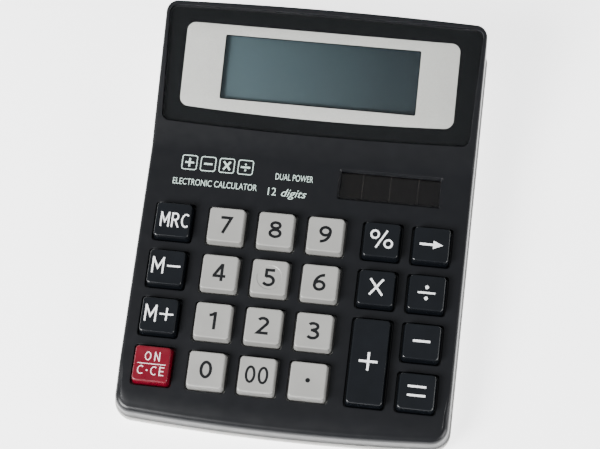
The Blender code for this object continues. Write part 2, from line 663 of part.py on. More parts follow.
# ---- solar cell --------------------------------------------------------------------------------
def make_solar():
    x, y = SOLAR_CENTRE
    w, h = SOLAR_OPENING[0] / 2 + SOLAR_LIP, SOLAR_OPENING[1] / 2 + SOLAR_LIP
    window_top = -(WALL + FILM_GAP)
    cell_top = window_top - SOLAR_WINDOW_THICKNESS - FILM_GAP
    cell_bottom = cell_top - SOLAR_CELL_THICKNESS
    low, high = (x - w, y - h), (x + w, y + h)
    box("solar_window", (*low, window_top - SOLAR_WINDOW_THICKNESS), (*high, window_top), KEYPAD, "lens")
    box("solar_cell", (*low, cell_bottom), (*high, cell_top), KEYPAD, "solar")
    for name, wire_x, finish in (("solar_wire_positive", x + 9 * MM, "red_wire"),
                                 ("solar_wire_negative", x + 15 * MM, "black_wire")):
        route = [(wire_x, y - 2 * MM, cell_bottom - 0.6 * MM), (wire_x, y - 4.5 * MM, -5 * MM),
                 (wire_x - 1 * MM, y - 7.5 * MM, BOARD_TOP + 1 * MM),
                 (wire_x - 1 * MM, BOARD_REAR - 2 * MM, BOARD_TOP + 0.7 * MM)]
        wire(name, [KEYPAD.matrix_world @ Vector(point) for point in route], 0.5 * MM, finish)


# ---- lower case --------------------------------------------------------------------------------
def bottom_skin(wall):
    """Rings of the lower case's skin, this far inside its outer surface, from the floor up to the rim."""
    rings = []
    radius = max(BASE_ROLL - wall, INNER_ROLL)
    for angle in (90, 60, 30, 0):
        inset = wall - RIM_STEP + radius * (1 - math.cos(math.radians(angle)))
        height = FOOT_HEIGHT + wall + radius * (1 - math.sin(math.radians(angle)))
        level = [position - out * inset for position, out, _ in case_outline()]
        rings.append([(max(x, 0), y, height) for x, y in level])
    edge = [position - out * (wall - RIM_STEP) for position, out, _ in case_outline()]
    rings.append([(max(x, 0), y, split_height(y) - GAP / 2) for x, y in edge])
    return rings


def make_bottom_case():
    case = shell("bottom_case", bottom_skin(0), bottom_skin(WALL), "grey_case")
    floor = FOOT_HEIGHT + WALL / 2
    for x, y, _, split, _ in CASE_SCREWS:
        join(case, rod("case_post", (x, y), floor, split, CASE_POST_RADIUS))
    x, y = WELL_CENTRE
    wide, tall = WELL_SIZE[0] / 2, WELL_SIZE[1] / 2
    join(case, box("battery_well", (x - wide, y - tall, floor), (x + wide, y + tall, WELL_TOP)))
    for x, y, seat, split, _ in CASE_SCREWS:
        cut(case, rod("counterbore", (x, y), 0, seat, COUNTERBORE_RADIUS))
        cut(case, rod("clearance_hole", (x, y), 0, split + MM, CASE_PILOT_RADIUS, sides=8))
    for x, y in FEET:
        recess_top = FOOT_HEIGHT + FOOT_SUNK
        cut(case, rod("foot_recess", (x, y), 0, recess_top, FOOT_RADIUS + GAP, sides=16))
    cut_battery_well(case)


def cover_edges():
    """Left, right, front and rear of the battery cover."""
    x, y = WELL_CENTRE
    return (x - COVER_SIZE[0] / 2, x + COVER_SIZE[0] / 2, y - COVER_SIZE[1] / 2, y + COVER_SIZE[1] / 2)


def cut_battery_well(case):
    """Cuts the cover's seat, the cell's pocket, and the slots for the hooks, the latch and the contacts."""
    left, right, front, rear = cover_edges()
    slack = COVER_SLACK
    cut(case, box("cover_seat", (left - slack, front - slack, 0), (right + slack, rear + slack, COVER_SEAT)))
    cut(case, rod("cell_pocket", WELL_CENTRE, FOOT_HEIGHT, WELL_TOP - WELL_ROOF, CELL_RADIUS + CELL_SLACK,
                   sides=24))
    for x in HOOK_XS:
        low = (x - HOOK_HALF_WIDTH - slack, rear - HOOK_NECK - HOOK_SWING, COVER_SEAT - 0.1 * MM)
        high = (x + HOOK_HALF_WIDTH + slack, rear + HOOK_REACH + 0.6 * MM, HOOK_TOP + 1 * MM)
        cut(case, box("hook_slot", low, high))
    wide = LATCH_HALF_WIDTH + slack
    cut(case, box("latch_slot", (-wide, front - 0.9 * MM, 0), (wide, front + 1.3 * MM, LATCH_TOP + 0.8 * MM)))
    x, y = WELL_CENTRE
    reach = CONTACT_HALF_WIDTH + 0.4 * MM
    roof = WELL_TOP + MM
    cut(case, box("positive_slot", (x + CELL_RADIUS, y - reach, COVER_SEAT),
                  (x + CELL_RADIUS + 1.1 * MM, y + reach, roof)))
    cut(case, box("negative_slot", (x - CELL_RADIUS - 1.1 * MM, y - reach, WELL_TOP - 2.2 * MM),
                  (x - CELL_RADIUS + 1 * MM, y + reach, roof)))


def make_battery():
    """The button cell, one contact beside its can and one over its face, and their wires to the board."""
    x, y = WELL_CENTRE
    r = CELL_RADIUS
    bottom = COVER_SEAT + CELL_SLACK
    top = bottom + CELL_HEIGHT
    step = [(r * 0.78, top), (r * 0.82, top - 0.4 * MM), (r, top - 0.5 * MM)]
    profile = [(0, top), *step, (r, bottom), (0, bottom)]
    turned("battery_cell", profile, (x, y, 0), None, "steel", 24)

    leaf, half = LEAF_THICKNESS, CONTACT_HALF_WIDTH
    side = x + r + GAP
    positive = box("battery_contact_positive", (side, y - half, bottom + GAP),
                   (side + leaf, y + half, WELL_TOP + TAIL_RISE), None, "steel")
    join(positive, box("solder_tail", (side, y - half, WELL_TOP + GAP),
                       (side + 2.7 * MM, y + half, WELL_TOP + GAP + leaf)))
    side = x - r - 2 * GAP
    roof = top + GAP
    negative = box("battery_contact_negative", (side, y - half, roof),
                   (x + 1.5 * MM, y + half, roof + leaf), None, "steel")
    join(negative, box("riser", (side, y - half, roof), (side + leaf, y + half, WELL_TOP + TAIL_RISE)))

    board = KEYPAD.matrix_world @ Vector((0, BOARD_REAR - 3 * MM, BOARD_BOTTOM - 0.8 * MM))
    for name, side, reach, finish in (("battery_wire_positive", 1, r + 1.9 * MM, "red_wire"),
                                      ("battery_wire_negative", -1, r + 1.5 * MM, "black_wire")):
        solder = Vector((x + side * reach, y, WELL_TOP + 1.4 * MM))
        route = [solder, solder + Vector((side * 3, -4, 1)) * MM, solder + Vector((side * 6, -13, 0)) * MM,
                 (side * 12 * MM, board.y + 5 * MM, board.z - 1.2 * MM), (side * 12 * MM, board.y, board.z)]
        wire(name, route, 0.55 * MM, finish)


def make_battery_cover():
    """The cover, with its origin on its hinge line: the lower rear edge of its seat."""
    left, right, front, rear = cover_edges()
    hinge = Vector((0, rear + COVER_SLACK, FOOT_HEIGHT))

    def local_box(name, low, high, material=None):
        made = box(name, Vector(low) - hinge, Vector(high) - hinge, None, material)
        made.location = hinge
        return made

    top = FOOT_HEIGHT + COVER_THICKNESS
    cover = local_box("battery_cover", (left, front, FOOT_HEIGHT), (right, rear, top), "grey_case")
    for x in HOOK_XS:
        low, high = x - HOOK_HALF_WIDTH, x + HOOK_HALF_WIDTH
        neck = (low, rear - HOOK_NECK, top - 0.5 * MM), (high, rear - 0.1 * MM, HOOK_TOP)
        finger = (low, rear - HOOK_NECK + 0.2 * MM, HOOK_BOTTOM), (high, rear + HOOK_REACH, HOOK_TOP)
        join(cover, local_box("hook_neck", *neck))
        join(cover, local_box("hook", *finger))
    latch = (-LATCH_HALF_WIDTH, front - 0.2 * MM, FOOT_HEIGHT), (LATCH_HALF_WIDTH, front + 0.8 * MM, LATCH_TOP)
    join(cover, local_box("latch", *latch))
    notch = (-4 * MM, front + 2 * MM, 0), (4 * MM, front + 3.2 * MM, FOOT_HEIGHT + 0.6 * MM)
    cut(cover, local_box("nail_notch", *notch))


# ---- fasteners and feet ------------------------------------------------------------------------
def make_case_screws():
    for index, (x, y, seat, split, tip) in enumerate(CASE_SCREWS, 1):
        bearing = seat - FILM_GAP
        screw(f"case_screw_{index}", (x, y, bearing), 2.0 * MM, 1.4 * MM, 0.95 * MM, tip - bearing)


def make_feet():
    for index, (x, y) in enumerate(FEET, 1):
        r = FOOT_RADIUS
        top = FOOT_HEIGHT + FOOT_SUNK - FILM_GAP
        profile = [(0, top), (r, top), (r, 0.4 * MM), (r - 0.4 * MM, 0), (0, 0)]
        turned(f"foot_{index}", profile, (x, y, 0), None, "foot_rubber", 16)


# ---- assembly ----------------------------------------------------------------------------------
clear_scene()
PARTS = new_collection("desk_calculator")
CUTTERS = new_collection("cutters")
MATERIALS = make_materials()

KEYPAD = bpy.data.objects.new("keypad_plane", None)
KEYPAD.location = (0, TOP_FRONT, FRONT_HEIGHT)
KEYPAD.rotation_euler = (KEYPAD_SLOPE, 0, 0)
DISPLAY = bpy.data.objects.new("display_plane", None)
DISPLAY.location = (0, BEND_Y, BEND_Z)
DISPLAY.rotation_euler = (DISPLAY_SLOPE, 0, 0)
for plane in (KEYPAD, DISPLAY):
    PARTS.objects.link(plane)
bpy.context.view_layer.update()

make_top_case()
make_keys()
make_key_mat()
make_board()
make_display()
make_ribbon()
make_solar()
make_bottom_case()
make_battery()
make_battery_cover()
make_case_screws()
make_feet()
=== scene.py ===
"""Desk calculator: finished surfaces and finishes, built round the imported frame.

Shapes are worked out in millimetres, in the frame's own axes: +X to the user's right, +Y from the user
towards the display, +Z up. Meshes are made in metres. Two tilted planes carry most of the work: the keypad's
and the display's. A point on either is (x, s, n): across, up the slope, and out of the surface.
"""

import json
import logging
import math
from collections.abc import Callable, Sequence
from dataclasses import dataclass, field
from enum import Enum

import bmesh
import bpy
import numpy as np
from mathutils import Matrix, Vector, geometry


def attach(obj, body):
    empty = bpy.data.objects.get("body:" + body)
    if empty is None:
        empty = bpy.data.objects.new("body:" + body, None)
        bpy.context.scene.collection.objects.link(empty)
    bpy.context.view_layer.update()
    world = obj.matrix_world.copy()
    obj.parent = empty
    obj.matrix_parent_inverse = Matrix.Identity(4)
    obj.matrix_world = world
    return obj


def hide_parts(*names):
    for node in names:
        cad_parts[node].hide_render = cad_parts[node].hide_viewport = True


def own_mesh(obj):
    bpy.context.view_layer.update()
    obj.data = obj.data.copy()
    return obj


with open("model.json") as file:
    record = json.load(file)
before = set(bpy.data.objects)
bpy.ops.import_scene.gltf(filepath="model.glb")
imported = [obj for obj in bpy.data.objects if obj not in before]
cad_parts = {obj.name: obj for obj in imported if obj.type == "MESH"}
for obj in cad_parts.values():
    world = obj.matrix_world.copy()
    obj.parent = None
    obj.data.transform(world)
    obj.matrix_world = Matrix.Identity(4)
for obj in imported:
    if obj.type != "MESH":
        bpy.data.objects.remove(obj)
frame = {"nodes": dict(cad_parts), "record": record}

Array = np.ndarray
Point = Sequence[float] | np.ndarray
Mesh = bpy.types.Mesh
Socket = bpy.types.NodeSocket
LOG = logging.getLogger("calculator")
MM = 0.001
WELD = 0.002  # points closer than this are one, in millimetres
NEAR_ZERO = 1e-6  # radius of a ring that closes on its axis
CASE_BODY = "case"


# ---- reading the frame ----
@dataclass(frozen=True)
class Plane:
    """A plane tilted about X: its origin's y and z, and its slope in radians."""

    y: float = 0.0
    z: float = 0.0
    slope: float = 0.0

    def place(self, points: Array | Sequence[Array]) -> Array:
        """Turns (x, s, n) points by the slope and moves them to the origin.

        Args:
            points: any array whose last axis is (x, s, n).

        Returns:
            The same points as (x, y, z).
        """
        x, s, n = np.moveaxis(np.asarray(points, float), -1, 0)
        cosine, sine = math.cos(self.slope), math.sin(self.slope)
        return np.stack([x, self.y + s * cosine - n * sine, self.z + s * sine + n * cosine], axis=-1)

    def local(self, points: Array) -> Array:
        """Undoes place().

        Args:
            points: any array whose last axis is (x, y, z).

        Returns:
            The same points as (x, s, n).
        """
        x, y, z = np.moveaxis(np.asarray(points, float), -1, 0)
        cosine, sine = math.cos(self.slope), math.sin(self.slope)
        y, z = y - self.y, z - self.z
        return np.stack([x, y * cosine + z * sine, z * cosine - y * sine], axis=-1)

    def height(self, y: Array, level: float = 0.0) -> Array:
        """Height of the plane, or of a parallel one at a level n above it, over some y."""
        return self.z + (y - self.y) * math.tan(self.slope) + level / math.cos(self.slope)


WORLD = Plane()


def node_points(node: str) -> Array:
    """The CAD node's vertices, N x 3, in millimetres."""
    mesh = frame["nodes"][node].data
    flat = np.empty(len(mesh.vertices) * 3, np.float32)
    mesh.vertices.foreach_get("co", flat)
    return flat.reshape(-1, 3).astype(float) / MM


def extent(node: str, plane: Plane = WORLD) -> tuple[Array, Array]:
    """Measures a CAD node along a plane's axes.

    Args:
        node: the CAD node's name.
        plane: whose axes to measure along.

    Returns:
        Its lowest and highest corner in that plane's (x, s, n).
    """
    points = plane.local(node_points(node))
    return points.min(axis=0), points.max(axis=0)


def footprint(node: str, plane: Plane = WORLD) -> tuple[Array, Array]:
    """Half a CAD node's width and length along a plane's axes, and its middle."""
    low, high = extent(node, plane)
    return (high - low)[:2] / 2, (low + high)[:2] / 2


def keypad_plane(key_rise: float) -> Plane:
    """The plane of the deck round the keys.

    The keys slide along its normal, and their tops stand key_rise above it. Its origin is under the case's
    front edge.
    """
    joints = frame["record"]["behaviour"]["joints"]
    axis = next(joint["axis"] for joint in joints if joint["child"] == "key_5")
    slope = math.atan2(axis[1], -axis[2])
    tilted = Plane(slope=slope)
    level = extent("key_5", tilted)[1][2] - key_rise
    front = extent("top_case")[0][1]
    return Plane(front, float(tilted.height(front, level)), slope)


def display_plane(keypad: Plane, lens_sunk: float) -> Plane:
    """The plane of the housing round the lens, with its origin where it would cross the keypad's plane.

    The lens is a thin plate, so the direction in which its points vary least is the plane's normal.
    """
    points = node_points("display_lens")
    normal = np.linalg.svd(points - points.mean(axis=0), full_matrices=False)[2][-1]
    normal = normal * np.sign(normal[2])
    slope = math.atan2(-normal[1], normal[2])
    level = extent("display_lens", Plane(slope=slope))[1][2] + lens_sunk
    lift = level / math.cos(slope) - keypad.height(0)
    y = lift / (math.tan(keypad.slope) - math.tan(slope))
    return Plane(float(y), float(keypad.height(y)), slope)


KEY_RISE = 3.2  # key tops above the deck
LENS_SUNK = 0.3  # lens below the housing's face
KEYPAD = keypad_plane(KEY_RISE)
DISPLAY = display_plane(KEYPAD, LENS_SUNK)


# ---- outlines ----
def smoothstep(value: Array, start: float = 0.0, end: float = 1.0) -> Array:
    """3t^2 - 2t^3, where t is how far the value lies from start to end."""
    t = np.clip((np.asarray(value, float) - start) / (end - start), 0, 1)
    return t * t * (3 - 2 * t)


def rounded(half: Point, radius: float, centre: Point = (0, 0), steps: int = 6, between: int = 1) -> Array:
    """A rounded rectangle, counter-clockwise: four quarter circles joined by straight runs.

    Args:
        half: half its width and height.
        radius: of its corners, no less than a twentieth of a millimetre.
        centre: its middle.
        steps: segments in each corner.
        between: segments in each straight run.

    Returns:
        N x 2 points, where N depends only on steps and between.
    """
    radius = max(radius, 0.05)
    angles = np.radians(np.linspace(0, 360, 4, endpoint=False)[:, None] + np.linspace(0, 90, steps + 1))
    signs = np.array([(1, 1), (-1, 1), (-1, -1), (1, -1)])[:, None]
    turns = np.stack([np.cos(angles), np.sin(angles)], axis=-1)
    arcs = signs * (np.array(half) - radius) + radius * turns
    shares = (np.arange(1, between) / between)[:, None]
    runs = arcs[:, -1:] + shares * (np.roll(arcs, -1, axis=0)[:, :1] - arcs[:, -1:])
    return np.concatenate([arcs, runs], axis=1).reshape(-1, 2) + np.array(centre)


def circle(radius: float, centre: Point = (0, 0), sides: int = 48) -> Array:
    """N x 2 points round a circle, counter-clockwise."""
    angles = np.linspace(0, 2 * math.pi, sides, endpoint=False)
    return np.array(centre) + radius * np.stack([np.cos(angles), np.sin(angles)], axis=-1)


def at_level(outline: Array, level: float) -> Array:
    """Gives N x 2 points a third value, the same for all."""
    return np.column_stack([outline, np.full(len(outline), level)])


def lip(ring: Callable[[float], Array], level: float, radius: float, direction: int = -1,
        support: float = 0.3, steps: int = 5) -> Array:
    """The rounded edge of an opening: a flat margin, then a quarter circle that turns into the wall.

    At angle a the edge lies radius * (1 - sin a) outside the wall and radius * (1 - cos a) from the surface.

    Args:
        ring: the opening's outline, given an offset outwards from its wall.
        level: of the surface.
        radius: of the quarter circle.
        direction: -1 if the wall goes down from the surface, 1 if it goes up.
        support: width of the flat margin.
        steps: segments in the quarter circle.

    Returns:
        R x N x 3 points, from the margin's outer edge to the wall.
    """
    rings = [at_level(ring(radius + support), level)]
    for angle in np.linspace(0, math.pi / 2, steps + 1):
        offset = radius * (1 - math.sin(angle))
        rings.append(at_level(ring(offset), level + direction * radius * (1 - math.cos(angle))))
    return np.array(rings)


def outline_edges(loops: Sequence[Array]) -> tuple[Array, Array]:
    """Puts closed outlines together.

    Args:
        loops: outlines of N x 2 points each.

    Returns:
        All their points, and E x 2 indices of the edges between them.
    """
    starts = np.cumsum([0, *[len(loop) for loop in loops]])
    spans = [np.arange(start, end) for start, end in zip(starts[:-1], starts[1:])]
    edges = [np.column_stack([span, np.roll(span, -1)]) for span in spans]
    return np.concatenate([np.asarray(loop, float) for loop in loops]), np.concatenate(edges)


def triangle_sides(triangles: Array) -> Array:
    """The sides of T x 3 triangles as 3T x 2 indices: all the first sides, then the second and the third."""
    return np.concatenate([triangles[:, [0, 1]], triangles[:, [1, 2]], triangles[:, [2, 0]]])


def inside(probes: Array, flat: Array, edges: Array) -> Array:
    """Whether each probe lies inside the outlines: a ray from it crosses their edges an odd number of times.

    Args:
        probes: P x 2 points.
        flat: the outlines' points.
        edges: E x 2 indices into them.

    Returns:
        P booleans.
    """
    a, b = flat[edges[:, 0]], flat[edges[:, 1]]
    spans = (a[:, 1] > probes[:, 1:]) != (b[:, 1] > probes[:, 1:])
    rise = np.where(a[:, 1] == b[:, 1], 1, b[:, 1] - a[:, 1])
    crossing = a[:, 0] + (probes[:, 1:] - a[:, 1]) * (b[:, 0] - a[:, 0]) / rise
    return (spans & (probes[:, :1] < crossing)).sum(axis=1) % 2 == 1


def filled(flat: Array, edges: Array, triangles: Array) -> Array:
    """Which triangles lie inside the outlines that they were made between.

    Triangles that share an edge which is no part of an outline form one region. Each takes the lowest number
    among its neighbours until nothing changes. A region is outside if it has a side of its own that is no
    part of an outline, and inside if most of its area tests as inside, so a sliver goes with its neighbours.

    Args:
        flat: N x 2 points.
        edges: E x 2 indices of the outlines' edges.
        triangles: T x 3 indices.

    Returns:
        T booleans.
    """
    sides = np.sort(triangle_sides(triangles), axis=1)
    codes, owners = sides @ [len(flat), 1], np.tile(np.arange(len(triangles)), 3)
    order = np.argsort(codes, kind="stable")
    codes, owners = codes[order], owners[order]
    plain = ~np.isin(codes, np.sort(edges, axis=1) @ [len(flat), 1])
    twice = np.concatenate([[False], codes[1:] == codes[:-1], [False]])
    joined = twice[1:-1] & plain[1:]
    first, second = owners[:-1][joined], owners[1:][joined]
    region, before = np.arange(len(triangles)), None
    while before is None or (region != before).any():
        before = region.copy()
        lowest = np.minimum(region[first], region[second])
        np.minimum.at(region, first, lowest)
        np.minimum.at(region, second, lowest)
        region = region[region]
    a, b, c = (flat[triangles[:, corner]] for corner in range(3))
    area = np.abs((b - a)[:, 0] * (c - a)[:, 1] - (b - a)[:, 1] * (c - a)[:, 0])
    votes = np.where(inside((a + b + c) / 3, flat, edges), area, -area)
    votes[owners[plain & ~twice[1:] & ~twice[:-1]]] = -area.sum()
    return np.bincount(region, votes, len(triangles))[region] > 0


# ---- meshes ----
class Skin:
    """Gathers surfaces, in millimetres, into one closed mesh."""

    def __init__(self) -> None:
        """Starts with nothing."""
        self.points: list[Array] = []
        self.faces: list[list[int]] = []
        self.count = 0

    def add(self, points: Array, faces: Array | Sequence[Sequence[int]]) -> None:
        """Adds points and the faces between them.

        Args:
            points: N x 3.
            faces: rows of indices into points, of any length.
        """
        rows = faces.tolist() if isinstance(faces, np.ndarray) else faces
        self.points.append(np.asarray(points, float).reshape(-1, 3))
        self.faces.extend([corner + self.count for corner in row] for row in rows)
        self.count += len(self.points[-1])

    def take(self, other: "Skin", plane: Plane) -> None:
        """Adds another skin, placed on a plane."""
        self.add(plane.place(np.concatenate(other.points)), other.faces)

    def loft(self, rings: Array | Sequence[Array], closed: bool = True) -> None:
        """Joins each ring to the next by quads.

        Args:
            rings: R x N x 3 points.
            closed: whether each ring's last point joins its first.
        """
        rings = np.asarray(rings, float)
        rows, count = rings.shape[:2]
        index = np.arange(rows * count).reshape(rows, count)
        if closed:
            index = np.column_stack([index, index[:, 0]])
        quads = np.stack([index[:-1, :-1], index[:-1, 1:], index[1:, 1:], index[1:, :-1]], axis=-1)
        self.add(rings, quads.reshape(-1, 4))

    def fan(self, ring: Array) -> None:
        """Closes a ring with triangles to its middle."""
        count = len(ring)
        index = np.arange(count)
        triangles = np.column_stack([index, np.roll(index, -1), np.full(count, count)])
        self.add(np.vstack([ring, ring.mean(axis=0)]), triangles)

    def sheet(self, border: Array, holes: Sequence[Array], lift: Callable[[Array], Array]) -> None:
        """Fills the region inside a border and outside its holes.

        The points are triangulated together, inside the border and outside the holes.

        Args:
            border: N x 2 outline.
            holes: outlines inside it.
            lift: turns N x 2 points into N x 3.
        """
        flat, edges = outline_edges([border, *holes])
        found = geometry.delaunay_2d_cdt([Vector(point) for point in flat], edges.tolist(), [], 0, 1e-7)
        source = np.array([sources[0] for sources in found[3]])
        triangles = source[np.array(found[2])]
        self.add(lift(flat), triangles[filled(flat, edges, triangles)])

    def mesh(self, name: str, sharp: float = 35.0) -> Mesh:
        """Welds everything into one mesh with its faces pointing out, shaded smooth but for its sharp edges.

        Args:
            name: the mesh's name.
            sharp: the angle, in degrees, from which an edge is sharp.

        Returns:
            The mesh, in metres.
        """
        made = bpy.data.meshes.new(name)
        made.from_pydata((np.concatenate(self.points) * MM).tolist(), [], self.faces)
        return weld(made, sharp)


def weld(mesh: Mesh, sharp: float = 35.0) -> Mesh:
    """Merges doubles, points the faces out and shades the mesh.

    Args:
        mesh: in metres.
        sharp: the angle, in degrees, from which an edge is sharp.

    Returns:
        The same mesh.
    """
    work = bmesh.new()
    work.from_mesh(mesh)
    bmesh.ops.remove_doubles(work, verts=work.verts, dist=WELD * MM)
    bmesh.ops.dissolve_degenerate(work, edges=work.edges, dist=WELD * MM / 4)
    bmesh.ops.recalc_face_normals(work, faces=work.faces)
    work.to_mesh(mesh)
    work.free()
    mesh.shade_smooth()
    mesh.set_sharp_from_angle(angle=math.radians(sharp))
    return mesh


def block(low: Point, high: Point, radius: float = 0.1) -> Skin:
    """A block with rounded upright corners, between two corners in millimetres."""
    low, high = np.array(low, float), np.array(high, float)
    half = (high - low)[:2] / 2
    outline = rounded(half, min(radius, *(half * 0.9)), (low + high)[:2] / 2, 2)
    rings = np.array([at_level(outline, low[2]), at_level(outline, high[2])])
    skin = Skin()
    skin.loft(rings)
    skin.fan(rings[0])
    skin.fan(rings[1])
    return skin


class Operation(Enum):
    """What closed shapes do to a mesh."""

    JOIN = "UNION"
    CUT = "DIFFERENCE"


def combine(mesh: Mesh, others: Sequence[Skin], operation: Operation, sharp: float = 35.0
            ) -> Mesh:
    """Joins shapes to a mesh, or cuts them from it.

    Args:
        mesh: the mesh to work on.
        others: closed shapes.
        operation: whether they are joined or cut.
        sharp: the angle, in degrees, from which an edge is sharp.

    Returns:
        A new mesh.
    """
    target = bpy.data.objects.new("combined", mesh)
    bpy.context.scene.collection.objects.link(target)
    helpers = []
    for other in others:
        helper = bpy.data.objects.new("helper", other.mesh("helper"))
        bpy.context.scene.collection.objects.link(helper)
        modifier = target.modifiers.new("combine", "BOOLEAN")
        modifier.operation = operation.value
        modifier.object = helper
        helpers.append(helper)
    bpy.context.view_layer.update()
    graph = bpy.context.evaluated_depsgraph_get()
    made = bpy.data.meshes.new_from_object(target.evaluated_get(graph))
    for helper in (target, *helpers):
        bpy.data.objects.remove(helper)
    made.name = mesh.name
    return weld(made, sharp)


def turned(profile: Sequence[Point], centre: Point, plane: Plane = WORLD, sides: int = 48) -> Skin:
    """A turned shape: its (radius, height) profile revolved about an axis along the plane's normal.

    Args:
        profile: points from the axis round to the axis.
        centre: where the axis stands, as (x, s).
        plane: whose normal the axis follows.
        sides: segments round the axis.

    Returns:
        The closed surface.
    """
    rings = [at_level(circle(max(radius, NEAR_ZERO), centre, sides), height) for radius, height in profile]
    skin = Skin()
    skin.loft(plane.place(rings))
    return skin


# ---- finishes ----
Colour = tuple[float, float, float]


class Slot(Enum):
    """The record's material slots."""

    BLACK_CASE = "black_case"
    GREY_CASE = "grey_case"
    BLACK_KEY = "black_key"
    GREY_KEY = "grey_key"
    RED_KEY = "red_key"
    LENS = "lens"
    SILVER_PRINT = "silver_print"
    LCD_GLASS = "lcd_glass"
    CLEAR_WINDOW = "clear_window"
    SOLAR = "solar"
    MAT_RUBBER = "mat_rubber"
    FOOT_RUBBER = "foot_rubber"
    STEEL = "steel"


class Graph:
    """A material's nodes: a Principled shader, and textures that read Object coordinates in metres."""

    def __init__(self, name: str) -> None:
        """Starts a material of that name."""
        self.material = bpy.data.materials.new(name)
        self.material.use_nodes = True
        self.tree = self.material.node_tree
        self.shader = self.tree.nodes["Principled BSDF"]
        self.place = self.node("ShaderNodeTexCoord").outputs["Object"]

    def node(self, kind: str, **settings: object) -> bpy.types.Node:
        """A new node with its settings."""
        made = self.tree.nodes.new(kind)
        for key, value in settings.items():
            setattr(made, key, value)
        return made

    def link(self, source: Socket, target: Socket) -> None:
        """Joins an output to an input."""
        self.tree.links.new(source, target)

    def stretched(self, scale: tuple[float, float, float]) -> Socket:
        """Object coordinates with each axis scaled."""
        mapping = self.node("ShaderNodeMapping")
        mapping.inputs["Scale"].default_value = scale
        self.link(self.place, mapping.inputs["Vector"])
        return mapping.outputs["Vector"]

    def noise(self, size: float, detail: float = 2.0, source: Socket | None = None
              ) -> Socket:
        """Fractal noise whose features are about that many millimetres across.

        Args:
            size: of the features, in millimetres.
            detail: how many finer layers are added.
            source: the coordinates it reads, Object coordinates if none.

        Returns:
            The noise's value, from 0 to 1.
        """
        texture = self.node("ShaderNodeTexNoise")
        texture.inputs["Scale"].default_value = 1 / (size * MM)
        texture.inputs["Detail"].default_value = detail
        self.link(source or self.place, texture.inputs["Vector"])
        return texture.outputs["Fac"]

    def spread(self, value: Socket, low: float, high: float, start: float = 0.35,
               end: float = 0.65) -> Socket:
        """Maps a value's range from start to end onto low to high."""
        ranged = self.node("ShaderNodeMapRange")
        for name, number in (("From Min", start), ("From Max", end), ("To Min", low), ("To Max", high)):
            ranged.inputs[name].default_value = number
        self.link(value, ranged.inputs["Value"])
        return ranged.outputs["Result"]

    def mixed(self, factor: Socket, first: Colour, second: Colour) -> Socket:
        """A colour between two, by a factor."""
        mix = self.node("ShaderNodeMix", data_type="RGBA")
        mix.inputs["A"].default_value = (*first, 1)
        mix.inputs["B"].default_value = (*second, 1)
        self.link(factor, mix.inputs["Factor"])
        return mix.outputs["Result"]

    def bump(self, height: Socket, depth: float, strength: float = 1.0,
             below: Socket | None = None) -> Socket:
        """A bump of that many millimetres, over another one if given."""
        made = self.node("ShaderNodeBump")
        made.inputs["Strength"].default_value = strength
        made.inputs["Distance"].default_value = depth * MM
        self.link(height, made.inputs["Height"])
        if below is not None:
            self.link(below, made.inputs["Normal"])
        return made.outputs["Normal"]

    def component(self, axis: str) -> Socket:
        """One of the Object coordinates, X, Y or Z, in metres."""
        split = self.node("ShaderNodeSeparateXYZ")
        self.link(self.place, split.inputs["Vector"])
        return split.outputs[axis]


@dataclass(frozen=True)
class Finish:
    """A moulded or printed surface: mottled colour, uneven gloss and a fine grain."""

    name: str
    colour: Colour
    roughness: float
    mottle: float = 0.06  # share by which the colour varies
    mottle_size: float = 9.0
    uneven: float = 0.05  # how far the roughness strays each way
    grain_size: float = 0.35
    grain_depth: float = 0.004
    wave_depth: float = 0.0  # slow unevenness of the moulding
    metallic: float = 0.0
    coat: float = 0.0
    specular: float = 0.5

    def material(self) -> bpy.types.Material:
        """The finish's material, made the first time it is asked for."""
        own_name = f"{self.name}_finish"
        found = bpy.data.materials.get(own_name)
        if found is not None:
            return found
        graph = Graph(own_name)
        self.dress(graph)
        return graph.material

    def dress(self, graph: Graph) -> None:
        """Sets up the shader.

        Args:
            graph: the new material's nodes.
        """
        inputs = graph.shader.inputs
        inputs["Metallic"].default_value = self.metallic
        inputs["Coat Weight"].default_value = self.coat
        inputs["Coat Roughness"].default_value = 0.05
        inputs["Specular IOR Level"].default_value = self.specular
        graph.link(self.tint(graph), inputs["Base Color"])
        uneven = graph.noise(self.mottle_size * 0.4, 3)
        gloss = graph.spread(uneven, self.roughness - self.uneven, self.roughness + self.uneven)
        graph.link(gloss, inputs["Roughness"])
        graph.link(self.relief(graph), inputs["Normal"])

    def tint(self, graph: Graph) -> Socket:
        """The colour, varied a little over some millimetres."""
        darker = tuple(channel * (1 - self.mottle) for channel in self.colour)
        lighter = tuple(min(channel * (1 + self.mottle), 1.0) for channel in self.colour)
        return graph.mixed(graph.spread(graph.noise(self.mottle_size), 0, 1), darker, lighter)

    def relief(self, graph: Graph) -> Socket:
        """The grain, over the moulding's slow waves."""
        waves = None
        if self.wave_depth:
            waves = graph.bump(graph.noise(self.mottle_size * 1.6, 0), self.wave_depth)
        return graph.bump(graph.noise(self.grain_size, 3), self.grain_depth, below=waves)


@dataclass(frozen=True)
class Clear(Finish):
    """Clear or tinted plastic or glass, polished."""

    ior: float = 1.49

    def dress(self, graph: Graph) -> None:
        """Adds transmission to the ordinary finish."""
        super().dress(graph)
        graph.shader.inputs["Transmission Weight"].default_value = 1.0
        graph.shader.inputs["IOR"].default_value = self.ior


